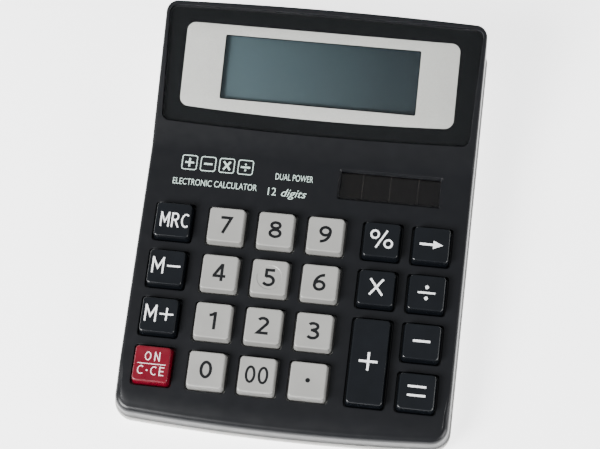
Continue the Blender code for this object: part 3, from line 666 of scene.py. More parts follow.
@dataclass(frozen=True)
class Speckled(Finish):
    """Silver printing: fine bright flakes in a grey ink."""

    flake: float = 0.16  # share by which the flakes stand out
    flake_size: float = 0.22

    def tint(self, graph: Graph) -> Socket:
        """Flakes by fine noise, kept to its upper and lower tails."""
        dull = tuple(channel * (1 - self.flake) for channel in self.colour)
        bright = tuple(min(channel * (1 + self.flake), 1.0) for channel in self.colour)
        return graph.mixed(graph.spread(graph.noise(self.flake_size, 1), 0, 1, 0.3, 0.7), dull, bright)


@dataclass(frozen=True)
class Graded(Finish):
    """A colour that goes over into another from left to right, as painted light: shade and reflection on the
    idle display, a sheen on the solar cell.
    """

    other: Colour = (0, 0, 0)
    left: float = -30.0
    right: float = 30.0

    def tint(self, graph: Graph) -> Socket:
        """The share of the second colour grows with x, stirred by slow noise: a painted light ramp."""
        across = graph.spread(graph.component("X"), 0, 1, self.left * MM, self.right * MM)
        stir = graph.node("ShaderNodeMath", operation="MULTIPLY_ADD")
        stir.use_clamp = True
        graph.link(graph.noise(self.mottle_size), stir.inputs[0])
        stir.inputs[1].default_value = self.mottle
        graph.link(across, stir.inputs[2])
        return graph.mixed(stir.outputs["Value"], self.colour, self.other)


@dataclass(frozen=True)
class Brushed(Finish):
    """Metal with fine drawn lines along X."""

    line: float = 0.05

    def relief(self, graph: Graph) -> Socket:
        """Noise drawn out twentyfold along X."""
        drawn = graph.noise(self.line, 2, graph.stretched((0.05, 1, 1)))
        return graph.bump(drawn, self.grain_depth)


@dataclass(frozen=True)
class Striped(Finish):
    """Parallel conductors across X, as on the flexible strip and the board."""

    other: Colour = (0.6, 0.35, 0.1)
    pitch: float = 1.5

    def tint(self, graph: Graph) -> Socket:
        """Bands of the second colour wherever a sine across X, bent by noise, is high."""
        wave = graph.node("ShaderNodeTexWave", wave_type="BANDS", bands_direction="X")
        wave.inputs["Scale"].default_value = math.pi / (10 * self.pitch * MM)
        wave.inputs["Distortion"].default_value = self.mottle * 10
        graph.link(graph.place, wave.inputs["Vector"])
        return graph.mixed(graph.spread(wave.outputs["Fac"], 0, 1, 0.45, 0.6), self.colour, self.other)


BLACK_CASE = Finish("black_case", (0.0058, 0.0062, 0.0075), 0.34, uneven=0.02, grain_size=0.3,
                    grain_depth=0.005, wave_depth=0.004, specular=0.35)
GREY_CASE = Finish("grey_case", (0.40, 0.395, 0.38), 0.45, grain_size=0.4, grain_depth=0.006)
BLACK_KEY = Finish("black_key", (0.0042, 0.0052, 0.0068), 0.24, mottle=0.1, uneven=0.02, grain_depth=0.002,
                   wave_depth=0.004, specular=0.4)
GREY_KEY = Finish("grey_key", (0.285, 0.282, 0.268), 0.33, mottle=0.03, grain_depth=0.003, wave_depth=0.004)
RED_KEY = Finish("red_key", (0.125, 0.0009, 0.009), 0.3, mottle=0.08, grain_depth=0.003)
WHITE_INK = Finish("white_ink", (0.93, 0.94, 0.94), 0.5, mottle=0.02, grain_size=0.12)
DARK_INK = Finish("dark_ink", (0.0035, 0.004, 0.005), 0.5, mottle=0.05, grain_size=0.12, specular=0.25)
PINK_INK = Finish("pink_ink", (0.82, 0.66, 0.66), 0.5, mottle=0.03, grain_size=0.12)
MINT_INK = Finish("mint_ink", (0.55, 0.68, 0.62), 0.5, mottle=0.06, grain_size=0.12)
LENS_CLEAR = Clear("lens_clear", (1.0, 1.0, 1.0), 0.02, mottle=0, uneven=0.01, grain_size=2,
                   grain_depth=0.0001, specular=0.1, ior=1.3)
WINDOW_CLEAR = Clear("window_clear", (0.8, 0.77, 0.74), 0.05, mottle=0.02, uneven=0.02, grain_depth=0.0002,
                     specular=0.15, ior=1.4)
MASK_BLACK = Finish("mask_black", (0.0020, 0.0024, 0.0027), 0.6, uneven=0, grain_size=0.2, grain_depth=0.0003,
                    specular=0.02)
SILVER_INK = Speckled("silver_ink", (0.29, 0.293, 0.275), 0.5, uneven=0.02, metallic=0.1, grain_size=0.2,
                      grain_depth=0.002)
# Painted light and reflection: the LCD is lighter at the left and darker towards the right, as the lamps fall
# on it.
LCD_GLASS = Graded("lcd_glass", (0.033, 0.052, 0.058), 0.3, mottle=0.02, mottle_size=14, uneven=0,
                   grain_size=0.15, grain_depth=0.001, other=(0.0095, 0.0145, 0.017), left=-42, right=26,
                   specular=0.2)
# Painted sheen: the cell's colour turns from brown to purple across X, as a sheen would.
SOLAR_FILM = Graded("solar_film", (0.0018, 0.0016, 0.0014), 0.2, mottle=0.2, mottle_size=6, uneven=0,
                    grain_depth=0, other=(0.0016, 0.0014, 0.0016), left=10, right=46, specular=0.1)
SOLAR_LINE = Finish("solar_line", (0.0045, 0.004, 0.0038), 0.4, metallic=0.3)
STEEL = Brushed("steel", (0.58, 0.58, 0.57), 0.28, metallic=1.0, grain_depth=0.002)
FOOT_RUBBER = Finish("foot_rubber", (0.022, 0.022, 0.023), 0.78, mottle=0.15, mottle_size=3, grain_depth=0.02)
MAT_RUBBER = Finish("mat_rubber", (0.36, 0.37, 0.37), 0.65, mottle=0.05, grain_depth=0.01)
FOIL = Brushed("foil", (0.75, 0.75, 0.74), 0.22, metallic=1.0, grain_depth=0.003, line=0.1)
WHITE_PLASTIC = Finish("white_plastic", (0.72, 0.72, 0.69), 0.5)
BOARD = Striped("board", (0.02, 0.13, 0.045), 0.38, mottle=0.5, other=(0.05, 0.22, 0.08), pitch=2.2, coat=0.3)
EPOXY = Finish("epoxy", (0.012, 0.012, 0.012), 0.25, mottle=0.2, mottle_size=2, wave_depth=0.03)
RIBBON = Striped("ribbon", (0.48, 0.26, 0.07), 0.35, other=(0.6, 0.58, 0.52), pitch=1.2, mottle=0)
RED_WIRE = Finish("red_wire", (0.5, 0.02, 0.02), 0.42)
BLACK_WIRE = Finish("black_wire", (0.015, 0.015, 0.015), 0.42)


def add_piece(name: str, mesh: Mesh, finish: Finish, slot: Slot, body: str = CASE_BODY,
              replaces: Sequence[str] = ()) -> bpy.types.Object:
    """Makes a finished mesh a piece that moves with a body.

    Args:
        name: the piece's name.
        mesh: its shape, already in place.
        finish: its look.
        slot: the record's slot for that look. Not used.
        body: the CAD body that it rides on.
        replaces: the CAD nodes that it stands for.

    Returns:
        The piece.
    """
    piece = bpy.data.objects.new(name, mesh)
    bpy.context.scene.collection.objects.link(piece)
    piece.data.materials.clear()
    piece.data.materials.append(finish.material())
    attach(piece, body)
    if replaces:
        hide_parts(*replaces)
    LOG.info("%s: %d faces, rides on %s", name, len(mesh.polygons), body)
    return piece


# ---- the case ----
@dataclass(frozen=True)
class CaseForm:
    """The case's outline and its upper surface, which both halves follow."""

    front_taper: float = 0.5  # the front corners stand in by this, against the rear ones
    front_bow: float = 2.2
    rear_bow: float = 1.0
    front_corner: float = 6.4
    rear_corner: float = 4.5
    front_roll: float = 2.0
    corner_roll: float = 1.9  # where the front corners meet the sides
    side_roll: float = 1.3
    rear_roll: float = 0.9
    run_out: float = 12.0  # along the sides, from the corners' rounding to the side's
    fall_reach: float = 5.0  # how far behind its front edge the deck starts to fall towards it
    fall_depth: float = 0.45  # how much lower the edge is for that
    blend_front: float = 2.8  # the hollow curve's reach, in front of the bend and behind it
    blend_rear: float = 6.0
    blend_steps: int = 14
    support: float = 0.15  # flat margin before and after the blend
    draft: float = 0.4
    wall: float = 1.6
    gap: float = 0.3  # between the two halves at the parting line
    rim_step: float = 0.5  # the lower half stands proud of the upper one by this

    @property
    def half_width(self) -> float:
        """Half the upper half's width, at its rear corners."""
        return float(extent("top_case")[1][0])

    @property
    def front(self) -> float:
        """The upper half's foremost y."""
        return float(extent("top_case")[0][1])

    @property
    def rear(self) -> float:
        """The upper half's rearmost y."""
        return float(extent("top_case")[1][1])

    def blend_rows(self) -> Array:
        """y of the rows across the blend: even steps of a quadratic Bezier curve from tangent to tangent."""
        t = np.linspace(0, 1, self.blend_steps + 1)
        along = -self.blend_front * (1 - t) ** 2 + self.blend_rear * t ** 2
        ends = [-self.blend_front - self.support, self.blend_rear + self.support]
        return DISPLAY.y + np.concatenate([ends[:1], along, ends[1:]])

    def surface(self, y: Array) -> Array:
        """Height of the upper surface over y.

        It is the keypad's plane, then a quadratic Bezier curve whose middle control point is the bend, then
        the display's plane. At parameter t the curve has risen above the keypad's plane by the difference in
        slope times blend_rear times t squared.
        """
        front, rear = self.blend_front, self.blend_rear
        along = np.asarray(y, float) - DISPLAY.y
        held = np.clip(along, -front, rear)
        t = (np.sqrt(front ** 2 + (rear - front) * (held + front)) - front) / (rear - front)
        turn = math.tan(DISPLAY.slope) - math.tan(KEYPAD.slope)
        return KEYPAD.height(along + DISPLAY.y) + turn * (rear * t ** 2 + np.maximum(along - rear, 0))

    def outline(self) -> tuple[Array, Array, Array]:
        """The whole outline at the parting line, counter-clockwise from the middle of the front edge.

        The right half is a parabola, a quarter circle, a straight side, a quarter circle and a parabola. The
        left half mirrors it.

        Returns:
            N x 2 positions, N x 2 outward directions, and the rounding of the top edge at each.
        """
        width, narrow = self.half_width, self.half_width - self.front_taper
        front_x, rear_x = narrow - self.front_corner, width - self.rear_corner
        x = np.linspace(0, front_x, 22)[:-1]
        edge = np.column_stack([x, self.front + self.front_bow * (x / narrow) ** 2])
        edge_out = np.column_stack([2 * self.front_bow * x / narrow ** 2, -np.ones_like(x)])
        front_y = self.front + self.front_bow * (front_x / narrow) ** 2 + self.front_corner
        rear_y = self.rear - self.rear_bow * (rear_x / width) ** 2 - self.rear_corner
        lean = math.atan(2 * self.front_bow * front_x / narrow ** 2)
        angle = np.linspace(lean - math.pi / 2, 0, 15)
        corner_out = np.column_stack([np.cos(angle), np.sin(angle)])
        corner = np.array([front_x, front_y]) + self.front_corner * corner_out
        run = front_y + self.run_out * np.linspace(0, 1, 13)[1:]
        plain = np.linspace(run[-1], self.blend_rows()[0], 6)[1:-1]
        beyond = np.linspace(self.blend_rows()[-1], rear_y, 5)[1:-1]
        y = np.concatenate([run, plain, self.blend_rows(), beyond])
        side = np.column_stack([narrow + (width - narrow) * (y - front_y) / (rear_y - front_y), y])
        side_out = np.tile([1.0, 0.0], (len(y), 1))
        lean = math.atan(2 * self.rear_bow * rear_x / width ** 2)
        angle = np.linspace(0, math.pi / 2 - lean, 11)
        back_out = np.column_stack([np.cos(angle), np.sin(angle)])
        back = np.array([rear_x, rear_y]) + self.rear_corner * back_out
        x = np.linspace(rear_x, 0, 22)[1:]
        rear = np.column_stack([x, self.rear - self.rear_bow * (x / width) ** 2])
        rear_out = np.column_stack([2 * self.rear_bow * x / width ** 2, np.ones_like(x)])
        position = np.concatenate([edge, corner, side, back, rear])
        out = np.concatenate([edge_out, corner_out, side_out, back_out, rear_out])
        out /= np.linalg.norm(out, axis=1, keepdims=True)
        turned_in = smoothstep(position[:, 0], front_x, narrow)
        run_out = smoothstep(position[:, 1], front_y, front_y + self.run_out)
        behind = smoothstep(position[:, 1], *self.blend_rows()[[0, -1]])
        roll = np.where(position[:, 1] <= front_y + 1e-9,
                        self.front_roll + (self.corner_roll - self.front_roll) * turned_in,
                        self.corner_roll + (self.side_roll - self.corner_roll) * run_out
                        + (self.rear_roll - self.side_roll) * behind)
        mirror = slice(len(position) - 2, 0, -1)
        flip = np.array([-1, 1])
        whole = (np.concatenate([half, half[mirror] * flip]) for half in (position, out))
        return *whole, np.concatenate([roll, roll[mirror]])

    def split(self, y: Array) -> Array:
        """Height of the parting line over y, midway between the two halves' rims."""
        upper, lower = node_points("top_case"), node_points("bottom_case")
        lowest, highest = upper[upper[:, 2].argmin()], lower[lower[:, 2].argmax()]
        slope = (highest[2] - lowest[2] + self.gap) / (highest[1] - lowest[1])
        return lowest[2] - self.gap / 2 + (np.asarray(y) - lowest[1]) * slope


def ring_at(form: CaseForm, inset: Array | float, height: Callable[[Array], Array]) -> Array:
    """The outline moved inwards, at heights that depend on y.

    Args:
        form: whose outline it is.
        inset: how far inwards, for each station or for all.
        height: gives each point's height, from its y.

    Returns:
        N x 3 points.
    """
    position, out, _ = form.outline()
    flat = position - out * np.reshape(inset, (-1, 1))
    flat[:, 0] = np.where(np.abs(position[:, 0]) < 1e-9, 0, flat[:, 0])
    return np.column_stack([flat, height(flat[:, 1])])


@dataclass
class KeyHole:
    """A key's opening in the deck, measured from the key's flange."""

    node: str
    flange_margin: float = 0.3  # the flange reaches this far past the opening's edge
    corner: float = 1.1

    @property
    def centre(self) -> tuple[float, float]:
        """The key's middle in the keypad's plane."""
        return tuple(footprint(self.node, KEYPAD)[1])

    @property
    def half(self) -> Array:
        """Half the opening's width and height."""
        return footprint(self.node, KEYPAD)[0] - self.flange_margin

    def ring(self, offset: float) -> Array:
        """The opening's outline, this far outside its wall."""
        return rounded(self.half + offset, self.corner + offset, self.centre, 5)


@dataclass
class LensShape:
    """The lens's outline: straight leaning sides, bowed top and bottom edges, rounded corners."""

    bottom_bow: float = 1.2
    top_bow: float = 0.7
    lean: float = 1.3  # the top is wider than the bottom by this on each side
    corner: float = 2.6
    steps: int = 30

    def ring(self, offset: float) -> Array:
        """The outline, this far outside the lens.

        The bottom edge is a parabola, and a quarter circle turns into the leaning side. The top is likewise.

        Args:
            offset: outwards, all round.

        Returns:
            N x 2 points in the display's plane, counter-clockwise.
        """
        low, high = extent("display_lens", DISPLAY)
        wide_top = high[0] + offset
        wide_bottom = wide_top - self.lean
        bottom, top = low[1] + self.bottom_bow - offset, high[1] - self.top_bow + offset
        radius = max(self.corner + offset, 0.2)
        angle = np.linspace(0, math.pi / 2, 9)
        sides = []
        lower, upper = (bottom, self.bottom_bow, wide_bottom, -1), (top, self.top_bow, wide_top, 1)
        for edge, bow, half, sign in (lower, upper):
            x = np.linspace(-1, 1, self.steps) * (half - radius)
            run = np.column_stack([x, edge + sign * bow * (1 - (x / half) ** 2)])
            middle = run[-1] - np.array([0, sign * radius])
            bend = middle + radius * np.column_stack([np.sin(angle), sign * np.cos(angle)])
            mirrored = bend[::-1] * np.array([-1, 1])
            sides.append(np.concatenate([mirrored[:-1], run, bend[1:]]))
        return np.concatenate([sides[0], sides[1][::-1]])


def window_rectangle(offset: float, radius: float = 0.6) -> Array:
    """The printed window over the LCD, grown by an offset."""
    half, middle = footprint("lcd_panel", DISPLAY)
    return rounded(half - Display.panel_margin + offset, radius, middle, 5)


@dataclass
class TopCase:
    """The upper half: deck, display housing, and every opening in them."""

    form: CaseForm
    holes: list[KeyHole]
    lens: LensShape
    hole_lip: float = 0.25  # rounding of the key openings' edges
    pocket_lip: float = 0.13
    pocket_margin: float = 0.07
    lens_slack: float = 0.25
    pocket_floor: float = -2.3
    tray_bottom: float = -3.9
    tray_opening: float = 1.0  # the tray's opening, beyond the printed window
    solar_bevel: float = 0.8
    solar_bevel_depth: float = 0.75
    solar_lip: float = 1.2  # the solar window's edge, behind the opening's wall
    solar_corner: float = 0.9
    inner_radius: float = 0.6
    roll_steps: int = 10
    fall_steps: int = 6
    columns: int = 44

    def build(self) -> None:
        """Builds the piece and puts it in the scene."""
        self.skin = Skin()
        self.surfaces()
        self.deck_openings()
        self.display_pocket()
        mesh = self.skin.mesh("case_top", 32)
        add_piece("case_top", mesh, BLACK_CASE, Slot.BLACK_CASE, replaces=["top_case"])

    def surfaces(self) -> None:
        """The rolled edges, walls and rim, outside and inside, and the sheets that close them."""
        form = self.form
        _, _, roll = form.outline()
        angles = np.linspace(math.pi / 2, 0, self.roll_steps + 1)
        level = self.roll_ring(form.draft, roll, math.pi / 2, form.surface)
        outer = [self.fallen(level, back) for back in np.linspace(1, 0, self.fall_steps + 1)[:-1]]
        outer += [self.fallen(self.roll_ring(form.draft, roll, angle, form.surface), 0) for angle in angles]
        rim = float(form.gap) / 2
        outer.append(ring_at(form, 0.0, lambda y: form.split(y) + rim + 0.2))
        outer.append(ring_at(form, 0.06, lambda y: form.split(y) + rim + 0.06))
        outer.append(ring_at(form, 0.2, lambda y: form.split(y) + rim))
        inner = [ring_at(form, form.wall, lambda y: form.split(y) + rim)]
        inner_roll = np.maximum(roll - form.wall, self.inner_radius)
        inset = form.draft + form.wall
        inner += [self.roll_ring(inset, inner_roll, angle, self.ceiling) for angle in angles[::-2]]
        self.skin.loft(outer + inner)
        support = self.fallen(self.roll_ring(form.draft + 0.1, roll, math.pi / 2, form.surface), 1)
        self.halves(outer[0], support, form.surface, self.columns, (0.0, 0.0))
        self.halves(None, inner[-1], self.ceiling, self.columns // 3, (-form.wall, self.tray_bottom))

    def roll_ring(self, inset: float, roll: Array, angle: float, height: Callable[[Array], Array]) -> Array:
        """A ring on the rounded top edge: r * (1 - cos a) inwards and r * (1 - sin a) down."""
        flat = ring_at(self.form, inset + roll * (1 - math.cos(angle)), height)
        flat[:, 2] -= roll * (1 - math.sin(angle))
        return flat

    def fallen(self, ring: Array, back: float) -> Array:
        """A ring of the deck's fall towards its front edge.

        It is moved backwards by the reach times back, and lowered by the depth times (1 - back) squared. Both
        fade out along the sides.

        Args:
            ring: the level ring at the top edge's rounding, or a ring of that rounding.
            back: 1 where the fall starts, and 0 at the edge.

        Returns:
            N x 3 points.
        """
        form = self.form
        corner = form.front + form.front_bow + form.front_corner
        share = 1 - smoothstep(form.outline()[0][:, 1], corner, corner + form.run_out)
        moved = ring + np.array([0, form.fall_reach * back, 0]) * share[:, None]
        moved[:, 2] += form.surface(moved[:, 1]) - form.surface(ring[:, 1])
        moved[:, 2] -= form.fall_depth * share * (1 - back) ** 2
        return moved

    def ceiling(self, y: Array) -> Array:
        """Height of the inner surface: a wall below the deck, the tray's depth below the display's plane."""
        rows = self.form.blend_rows()
        deep = smoothstep(y, rows[0], rows[-1])
        depth = (1 - deep) * self.form.wall / math.cos(KEYPAD.slope)
        return self.form.surface(y) - depth + deep * self.tray_bottom / math.cos(DISPLAY.slope)

    def halves(self, edge: Array | None, support: Array, height: Callable[[Array], Array], columns: int,
               levels: tuple[float, float]) -> None:
        """Closes a ring with a flat deck sheet, a curved grid across the blend and a flat display sheet.

        The rows of the grid run between the ring's own stations, so that it shares its edges with the sheets.

        Args:
            edge: a ring round the support ring, which a flat strip joins to it, or None.
            support: the ring that the sheets start from.
            height: the surface over y, for the grid.
            columns: of the grid.
            levels: of the deck sheet and the display sheet, in their planes.
        """
        count = len(support)
        rows = self.form.blend_rows()
        first = int(np.argmin(np.abs(support[:count // 2, 1] - rows[0])))
        last = first + len(rows) - 1
        across = np.linspace(-1, 1, columns + 1)
        grid = support[first:last + 1, 0][:, None] * across
        if edge is not None:
            rim = edge[first:last + 1, 0][:, None]
            grid = np.hstack([-rim, grid, rim])
        y = np.broadcast_to(rows[:, None], grid.shape)
        self.skin.loft(np.stack([grid, y, height(y)], axis=-1), closed=False)
        deck = np.roll(np.arange(count), first)[:2 * first + 1]
        back = np.arange(last, count - last + 1)
        row = support[first, 0] * across[1:-1]
        front_row = np.column_stack([row[::-1], np.full(len(row), rows[0])])
        row = support[last, 0] * across[1:-1]
        rear_row = np.column_stack([row, np.full(len(row), rows[-1])])
        front_part, rear_part = (deck, front_row, KEYPAD, levels[0]), (back, rear_row, DISPLAY, levels[1])
        for stations, row, plane, level in (front_part, rear_part):
            if edge is not None:
                self.skin.loft([edge[stations], support[stations]], closed=False)
            border = np.concatenate([support[stations, :2], row])
            world = np.column_stack([border, plane.height(border[:, 1], level)])
            self.sheet(plane, plane.local(world)[:, :2], level)

    def sheet(self, plane: Plane, border: Array, level: float) -> None:
        """Fills a flat sheet of the deck or the display's plane, outside or inside, round its openings."""
        outside = level == 0
        if plane is KEYPAD:
            holes = [hole.ring(self.hole_lip + 0.2 if outside else 0) for hole in self.holes]
            holes.append(self.solar_ring(0.15 if outside else -self.solar_bevel))
        else:
            margin = self.lens_slack + self.pocket_lip + self.pocket_margin
            holes = [self.lens.ring(margin)] if outside else [window_rectangle(self.tray_opening)]
        self.skin.sheet(border, holes, lambda flat: plane.place(at_level(flat, level)))

    def solar_ring(self, offset: float) -> Array:
        """The solar opening's outline, this far outside its upper edge."""
        half, middle = footprint("solar_window", KEYPAD)
        return rounded(half - self.solar_lip + offset, self.solar_corner + offset, middle, 5)

    def deck_openings(self) -> None:
        """The edges and walls of the key openings, and the solar opening's bevelled frame."""
        bottom = -self.form.wall
        for hole in self.holes:
            rings = [*lip(hole.ring, 0, self.hole_lip, support=0.2), at_level(hole.ring(0), bottom)]
            self.skin.loft(KEYPAD.place(rings))
        frame_rings = [(0.15, 0), (0.0, 0), (-0.05, -0.02), (-0.1, -0.08),
                       (0.05 - self.solar_bevel, -self.solar_bevel_depth),
                       (-self.solar_bevel, -self.solar_bevel_depth - 0.08), (-self.solar_bevel, bottom)]
        rings = [at_level(self.solar_ring(offset), level) for offset, level in frame_rings]
        self.skin.loft(KEYPAD.place(rings))

    def display_pocket(self) -> None:
        """The lens's pocket, its floor, and the opening through the tray below it."""
        def wall(offset: float) -> Array:
            """The pocket's outline, this far outside its wall."""
            return self.lens.ring(self.lens_slack + offset)

        edge = lip(wall, 0, self.pocket_lip, support=self.pocket_margin)
        rings = [*edge, at_level(wall(0), self.pocket_floor)]
        self.skin.loft(DISPLAY.place(rings))
        opening = window_rectangle(self.tray_opening)
        self.skin.sheet(wall(0), [opening], lambda flat: DISPLAY.place(at_level(flat, self.pocket_floor)))
        walls = [at_level(opening, self.pocket_floor), at_level(opening, self.tray_bottom)]
        self.skin.loft(DISPLAY.place(walls))


@dataclass
class BottomCase:
    """The lower half: floor, screw posts, battery well, and the recesses of the feet and the label."""

    form: CaseForm
    screws: list[str]
    feet: list[str]
    base_roll: float = 2.2
    inner_radius: float = 0.6
    post_radius: float = 3.4
    counterbore: float = 2.4
    hole: float = 1.3
    head_height: float = 1.4
    head_play: float = 0.1
    foot_sunk: float = 0.6
    foot_slack: float = 0.3
    edge: float = 0.2  # rounding of the recesses' edges
    well_half: tuple[float, float] = (14.5, 12.5)
    well_corner: float = 2.0
    well_roof: float = 1.0
    cell_slack: float = 0.4
    label_half: tuple[float, float] = (24.0, 11.0)
    label_y: float = -18.0
    label_depth: float = 0.3
    hook_half: float = 1.85
    hook_roof: float = 4.35  # height of the hooks' slots over the table
    latch_half: float = 3.35

    def build(self) -> None:
        """Builds the piece and puts it in the scene."""
        self.skin = Skin()
        self.floor_z = float(extent("bottom_case")[0][2])
        self.openings: list[Array] = []
        self.inner_openings: list[Array] = []
        outer, inner = self.walls()
        for node in self.screws:
            self.post(node)
        for node in self.feet:
            self.foot_recess(node)
        self.label()
        self.well()
        self.skin.sheet(outer, self.openings, lambda flat: at_level(flat, self.floor_z))
        inner_z = self.floor_z + self.form.wall
        self.skin.sheet(inner, self.inner_openings, lambda flat: at_level(flat, inner_z))
        mesh = combine(self.skin.mesh("case_base", 32), self.slots(), Operation.CUT, 32)
        add_piece("case_base", mesh, GREY_CASE, Slot.GREY_CASE, replaces=["bottom_case"])

    def walls(self) -> tuple[Array, Array]:
        """Lofts from the floor round the base's edge, up to the rim, over it and down inside.

        Returns:
            The outlines of the floor's outer and inner sheets.
        """
        form, floor = self.form, self.floor_z
        step = form.rim_step
        angles = np.linspace(math.pi / 2, 0, 9)
        rings = [ring_at(form, self.base_roll + 0.3 - step, lambda y: floor + 0 * y)]
        for angle in angles:
            inset = self.base_roll * (1 - math.cos(angle)) - step
            lift = self.base_roll * (1 - math.sin(angle))
            rings.append(ring_at(form, inset, lambda y, lift=lift: floor + lift + 0 * y))
        rim = form.gap / 2
        for inset, drop in ((-step, 0.25), (0.08 - step, 0.07), (0.25 - step, 0), (form.wall - step, 0)):
            rings.append(ring_at(form, inset, lambda y, drop=drop: form.split(y) - rim - drop))
        radius, depth = self.inner_radius, form.wall
        for angle in angles[::-2]:
            inset = form.wall - step + radius * (1 - math.cos(angle))
            lift = depth + radius * (1 - math.sin(angle))
            rings.append(ring_at(form, inset, lambda y, lift=lift: floor + lift + 0 * y))
        self.skin.loft(rings)
        return rings[0][:, :2], rings[-1][:, :2]

    def post(self, node: str) -> None:
        """A screw's counterbore, its clearance hole, and the post round them, as one stack of circles."""
        _, centre = footprint(node)
        seat = extent(node)[0][2] + self.head_height + self.head_play
        top = float(self.form.split(centre[1])) - self.form.gap
        bore, post = self.counterbore, self.post_radius
        rings = list(lip(lambda offset: circle(bore + offset, centre), self.floor_z, self.edge, 1))
        profile = [(bore, seat), (self.hole, seat), (self.hole, top), (post - 0.3, top), (post, top - 0.3),
                   (post, self.floor_z + self.form.wall)]
        rings += [at_level(circle(radius, centre), z) for radius, z in profile]
        self.skin.loft(rings)
        self.openings.append(rings[0][:, :2])
        self.inner_openings.append(rings[-1][:, :2])

    def foot_recess(self, node: str) -> None:
        """The shallow round recess that a foot is glued into."""
        half, centre = footprint(node)
        radius = half[0] + self.foot_slack
        rings = list(lip(lambda offset: circle(radius + offset, centre), self.floor_z, self.edge, 1))
        rings.append(at_level(circle(radius, centre), self.floor_z + self.foot_sunk))
        self.skin.loft(rings)
        self.skin.fan(rings[-1])
        self.openings.append(rings[0][:, :2])

    def label(self) -> None:
        """The blank recessed panel where a rating label would go."""
        def outline(offset: float) -> Array:
            """The recess's outline, this far outside its wall."""
            return rounded(np.array(self.label_half) + offset, 2 + offset, (0, self.label_y))

        rings = list(lip(outline, self.floor_z, self.edge, 1))
        rings.append(at_level(outline(-0.1), self.floor_z + self.label_depth))
        self.skin.loft(rings)
        self.skin.fan(rings[-1])
        self.openings.append(rings[0][:, :2])

    def well(self) -> None:
        """The cover's seat, the cell's pocket above it, and the block that houses them."""
        half, centre = footprint("battery_cell")
        radius = half[0] + self.cell_slack
        seat = float(extent("battery_cell")[0][2]) - self.cell_slack
        roof = self.well_top

        def outline(offset: float) -> Array:
            """The seat's outline, this far outside its wall."""
            plate, middle = BatteryCover.plate()
            return rounded(plate + BatteryCover.slack + offset, 0.8 + offset, middle)

        rings = [*lip(outline, self.floor_z, self.edge, 1), at_level(outline(0), seat)]
        self.skin.loft(rings)
        self.openings.append(rings[0][:, :2])
        pocket = circle(radius, centre)
        self.skin.sheet(outline(0), [pocket], lambda flat: at_level(flat, seat))
        ceiling = at_level(pocket, roof - self.well_roof)
        self.skin.loft([at_level(pocket, seat), ceiling])
        self.skin.fan(ceiling)
        outer = rounded(self.well_half, self.well_corner, centre)
        inner_z = self.floor_z + self.form.wall
        self.skin.loft([at_level(outer, inner_z), at_level(outer, roof)])
        self.skin.fan(at_level(outer, roof))
        self.inner_openings.append(outer)

    @property
    def well_top(self) -> float:
        """The well's roof, just below the tail of the side contact."""
        return float(extent("battery_cell")[1][2]) + 2.0

    def slots(self) -> list[Skin]:
        """The slots for the cover's hooks and latch, and for the two contacts."""
        half, middle = BatteryCover.plate()
        front, rear = middle[1] - half[1], middle[1] + half[1]
        low, high = extent("battery_cell")
        seat, top, roof = low[2] - self.cell_slack, high[2], self.well_top + 1
        made = []
        for x in BatteryCover.hook_xs:
            left, right = x - self.hook_half, x + self.hook_half
            made.append(block((left, rear - 2.5, seat - 0.1), (right, rear + 2.1, self.hook_roof)))
        latch_top = extent("battery_cover")[1][2] + 0.8
        made.append(block((-self.latch_half, front - 0.9, 0), (self.latch_half, front + 1.3, latch_top)))
        side = extent("battery_contact_positive")
        reach = (side[1] - side[0])[1] / 2 + 0.4
        y = (low + high)[1] / 2
        made.append(block((high[0], y - reach, seat), (high[0] + 1.1, y + reach, roof)))
        made.append(block((low[0] - 1.1, y - reach, top - 0.2), (low[0] + 1, y + reach, roof)))
        return made


